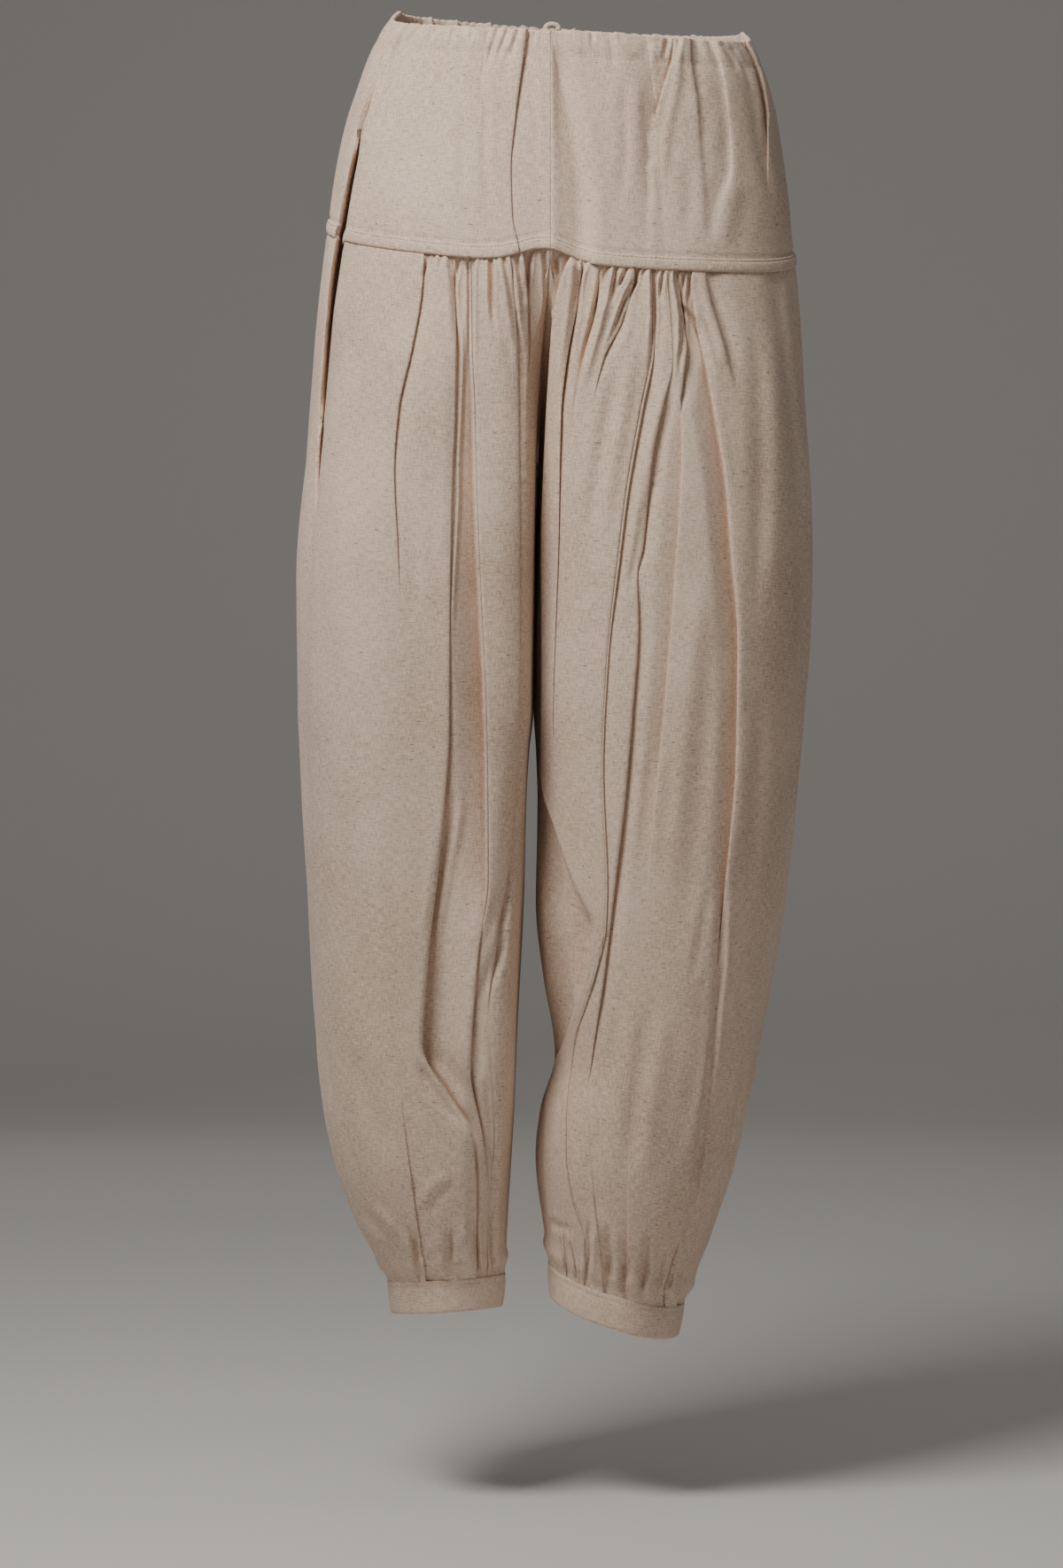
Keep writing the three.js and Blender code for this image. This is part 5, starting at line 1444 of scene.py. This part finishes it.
class SalwarStage(bpy.types.PropertyGroup):
    """The floor, lights and camera."""
    floor: bpy.props.FloatVectorProperty(
        name="Floor", description="Colour of the floor", default=(0.78, 0.76, 0.73), size=3,
        subtype="COLOR")
    floor_height: bpy.props.FloatProperty(
        name="Floor height", description="Height of the floor, which lies below the waist", default=-1.107,
        unit="LENGTH")
    key: bpy.props.FloatProperty(
        name="Key light", description="Power of the light at the front left", default=32.0, unit="POWER")
    fill: bpy.props.FloatProperty(
        name="Fill lights", description="Power of each of the soft lights", default=6.0, unit="POWER")
    sky: bpy.props.FloatProperty(
        name="Surroundings", description="Strength of the pale surroundings", default=0.10, min=0)


def cotton_materials():
    """The two materials of the garment, made once."""
    colours = bpy.context.scene.salwar_colours
    group = bpy.data.node_groups.get("handloom") or handloom_group()
    cotton = bpy.data.materials.get("handloom_cotton")
    cotton = cotton or cloth_material("handloom_cotton", group, colours, 0.9, 0.6)
    thread = bpy.data.materials.get("sewing_thread") or thread_material(colours)
    return cotton, thread


def for_each_half(build, context):
    """Builds the same pieces in both halves."""
    cotton, _ = cotton_materials()
    for side, half in HALVES.items():
        build(side, half, cotton, context.scene.salwar_sizes)
    return {"FINISHED"}


class SALWAR_OT_yoke(bpy.types.Operator):
    """Builds the two panels of the hip yoke, with their casings and bands"""
    bl_idname = "salwar.yoke"
    bl_label = "Yoke"

    def execute(self, context):
        return for_each_half(build_yoke, context)


class SALWAR_OT_legs(bpy.types.Operator):
    """Builds the leg panels and gussets"""
    bl_idname = "salwar.legs"
    bl_label = "Legs"

    def execute(self, context):
        return for_each_half(build_leg, context)


class SALWAR_OT_cuffs(bpy.types.Operator):
    """Builds the ankle cuffs"""
    bl_idname = "salwar.cuffs"
    bl_label = "Cuffs"

    def execute(self, context):
        return for_each_half(build_cuff, context)


class SALWAR_OT_stitching(bpy.types.Operator):
    """Sews the bands, casings and cuffs"""
    bl_idname = "salwar.stitching"
    bl_label = "Stitching"

    def execute(self, context):
        build_stitching(cotton_materials()[1], context.scene.salwar_sizes)
        return {"FINISHED"}


class SALWAR_OT_cord(bpy.types.Operator):
    """Builds the loop of cord at the centre front"""
    bl_idname = "salwar.cord"
    bl_label = "Cord loop"

    def execute(self, context):
        build_loop(cotton_materials()[1])
        return {"FINISHED"}


class SALWAR_OT_stage(bpy.types.Operator):
    """Lays the floor and places the lights and the camera"""
    bl_idname = "salwar.stage"
    bl_label = "Stage"

    def execute(self, context):
        stage = context.scene.salwar_stage
        lay_floor(stage)
        light("key_light", stage.key, (-0.7, -1.0, 0.86), 0.7, NEAR_WARM, 0.1)
        light("fill_light", stage.fill, (2.3, -2.6, 0.1), 2.6, COOL)
        light("top_light", stage.fill, (0.2, -0.4, 2.4), 2.4, WARM)
        light("back_light", stage.fill, (-0.6, 3.0, 0.9), 2.4, WARM)
        sky = bpy.data.worlds.new("surroundings")
        sky.use_nodes = True
        background = sky.node_tree.nodes["Background"]
        background.inputs["Color"].default_value = (*NEAR_WARM, 1)
        background.inputs["Strength"].default_value = stage.sky
        context.scene.world = sky
        place_camera(context.scene)
        return {"FINISHED"}


def lay_floor(stage):
    """A floor that bends up to a wall far behind the garment."""
    bm = bmesh.new()
    bmesh.ops.create_grid(bm, x_segments=1, y_segments=56, size=FLOOR["size"])
    bend, far = FLOOR["bend"], FLOOR["far"]
    for v in bm.verts:
        past = v.co.y - far
        if past > 0:
            angle = min(past / bend, math.pi / 2)
            v.co.y = far + bend * math.sin(angle)
            v.co.z = bend * (1 - math.cos(angle)) + max(past - angle * bend, 0) * FLOOR["climb"]
        v.co.z += stage.floor_height
        v.co.x *= FLOOR["wide"]
    mesh = smooth_mesh(bm, "floor")
    floor = bpy.data.objects.new("floor", mesh)
    bpy.context.scene.collection.objects.link(floor)
    material, _, shader = new_material("pale_floor")
    shader.inputs["Base Color"].default_value = (*stage.floor, 1)
    shader.inputs["Roughness"].default_value = 0.9
    mesh.materials.append(material)


def light(name, power, place, size, colour, aim_height=-0.55):
    lamp = bpy.data.lights.new(name, "AREA")
    lamp.energy, lamp.size, lamp.color = power, size, colour
    lit = bpy.data.objects.new(name, lamp)
    lit.location = place
    aim = Vector((-0.03, 0, aim_height)) - Vector(place)
    lit.rotation_euler = aim.to_track_quat("-Z", "Y").to_euler()
    bpy.context.scene.collection.objects.link(lit)


def place_camera(scene):
    lens = bpy.data.cameras.new("camera")
    lens.lens, lens.sensor_width = 97.6, 36
    camera = bpy.data.objects.new("camera", lens)
    camera.location = (-0.030, -3.2, -0.570)
    camera.rotation_euler = (math.radians(90), 0, 0)
    scene.collection.objects.link(camera)
    scene.camera = camera


class SALWAR_PT_panel(bpy.types.Panel):
    """The steps that build the salwar"""
    bl_label = "Salwar"
    bl_idname = "SALWAR_PT_panel"
    bl_space_type = "VIEW_3D"
    bl_region_type = "UI"
    bl_category = "Salwar"

    def draw(self, context):
        for group in ("salwar_sizes", "salwar_colours", "salwar_stage"):
            values = getattr(context.scene, group)
            for name in values.__annotations__:
                self.layout.prop(values, name)
        for step in STEPS:
            self.layout.operator(step.bl_idname)


GROUPS = {"salwar_sizes": SalwarSizes, "salwar_colours": SalwarColours, "salwar_stage": SalwarStage}
STEPS = (SALWAR_OT_yoke, SALWAR_OT_legs, SALWAR_OT_cuffs, SALWAR_OT_stitching, SALWAR_OT_cord,
         SALWAR_OT_stage)


def register():
    for made in (*GROUPS.values(), *STEPS, SALWAR_PT_panel):
        bpy.utils.register_class(made)
    for name, group in GROUPS.items():
        setattr(bpy.types.Scene, name, bpy.props.PointerProperty(type=group))


def unregister():
    for name in GROUPS:
        delattr(bpy.types.Scene, name)
    for made in (SALWAR_PT_panel, *reversed(STEPS), *GROUPS.values()):
        bpy.utils.unregister_class(made)


def main():
    register()
    bpy.ops.salwar.yoke()
    bpy.ops.salwar.legs()
    bpy.ops.salwar.cuffs()
    bpy.ops.salwar.stitching()
    bpy.ops.salwar.cord()
    bpy.ops.salwar.stage()


if __name__ == "__main__":
    main()
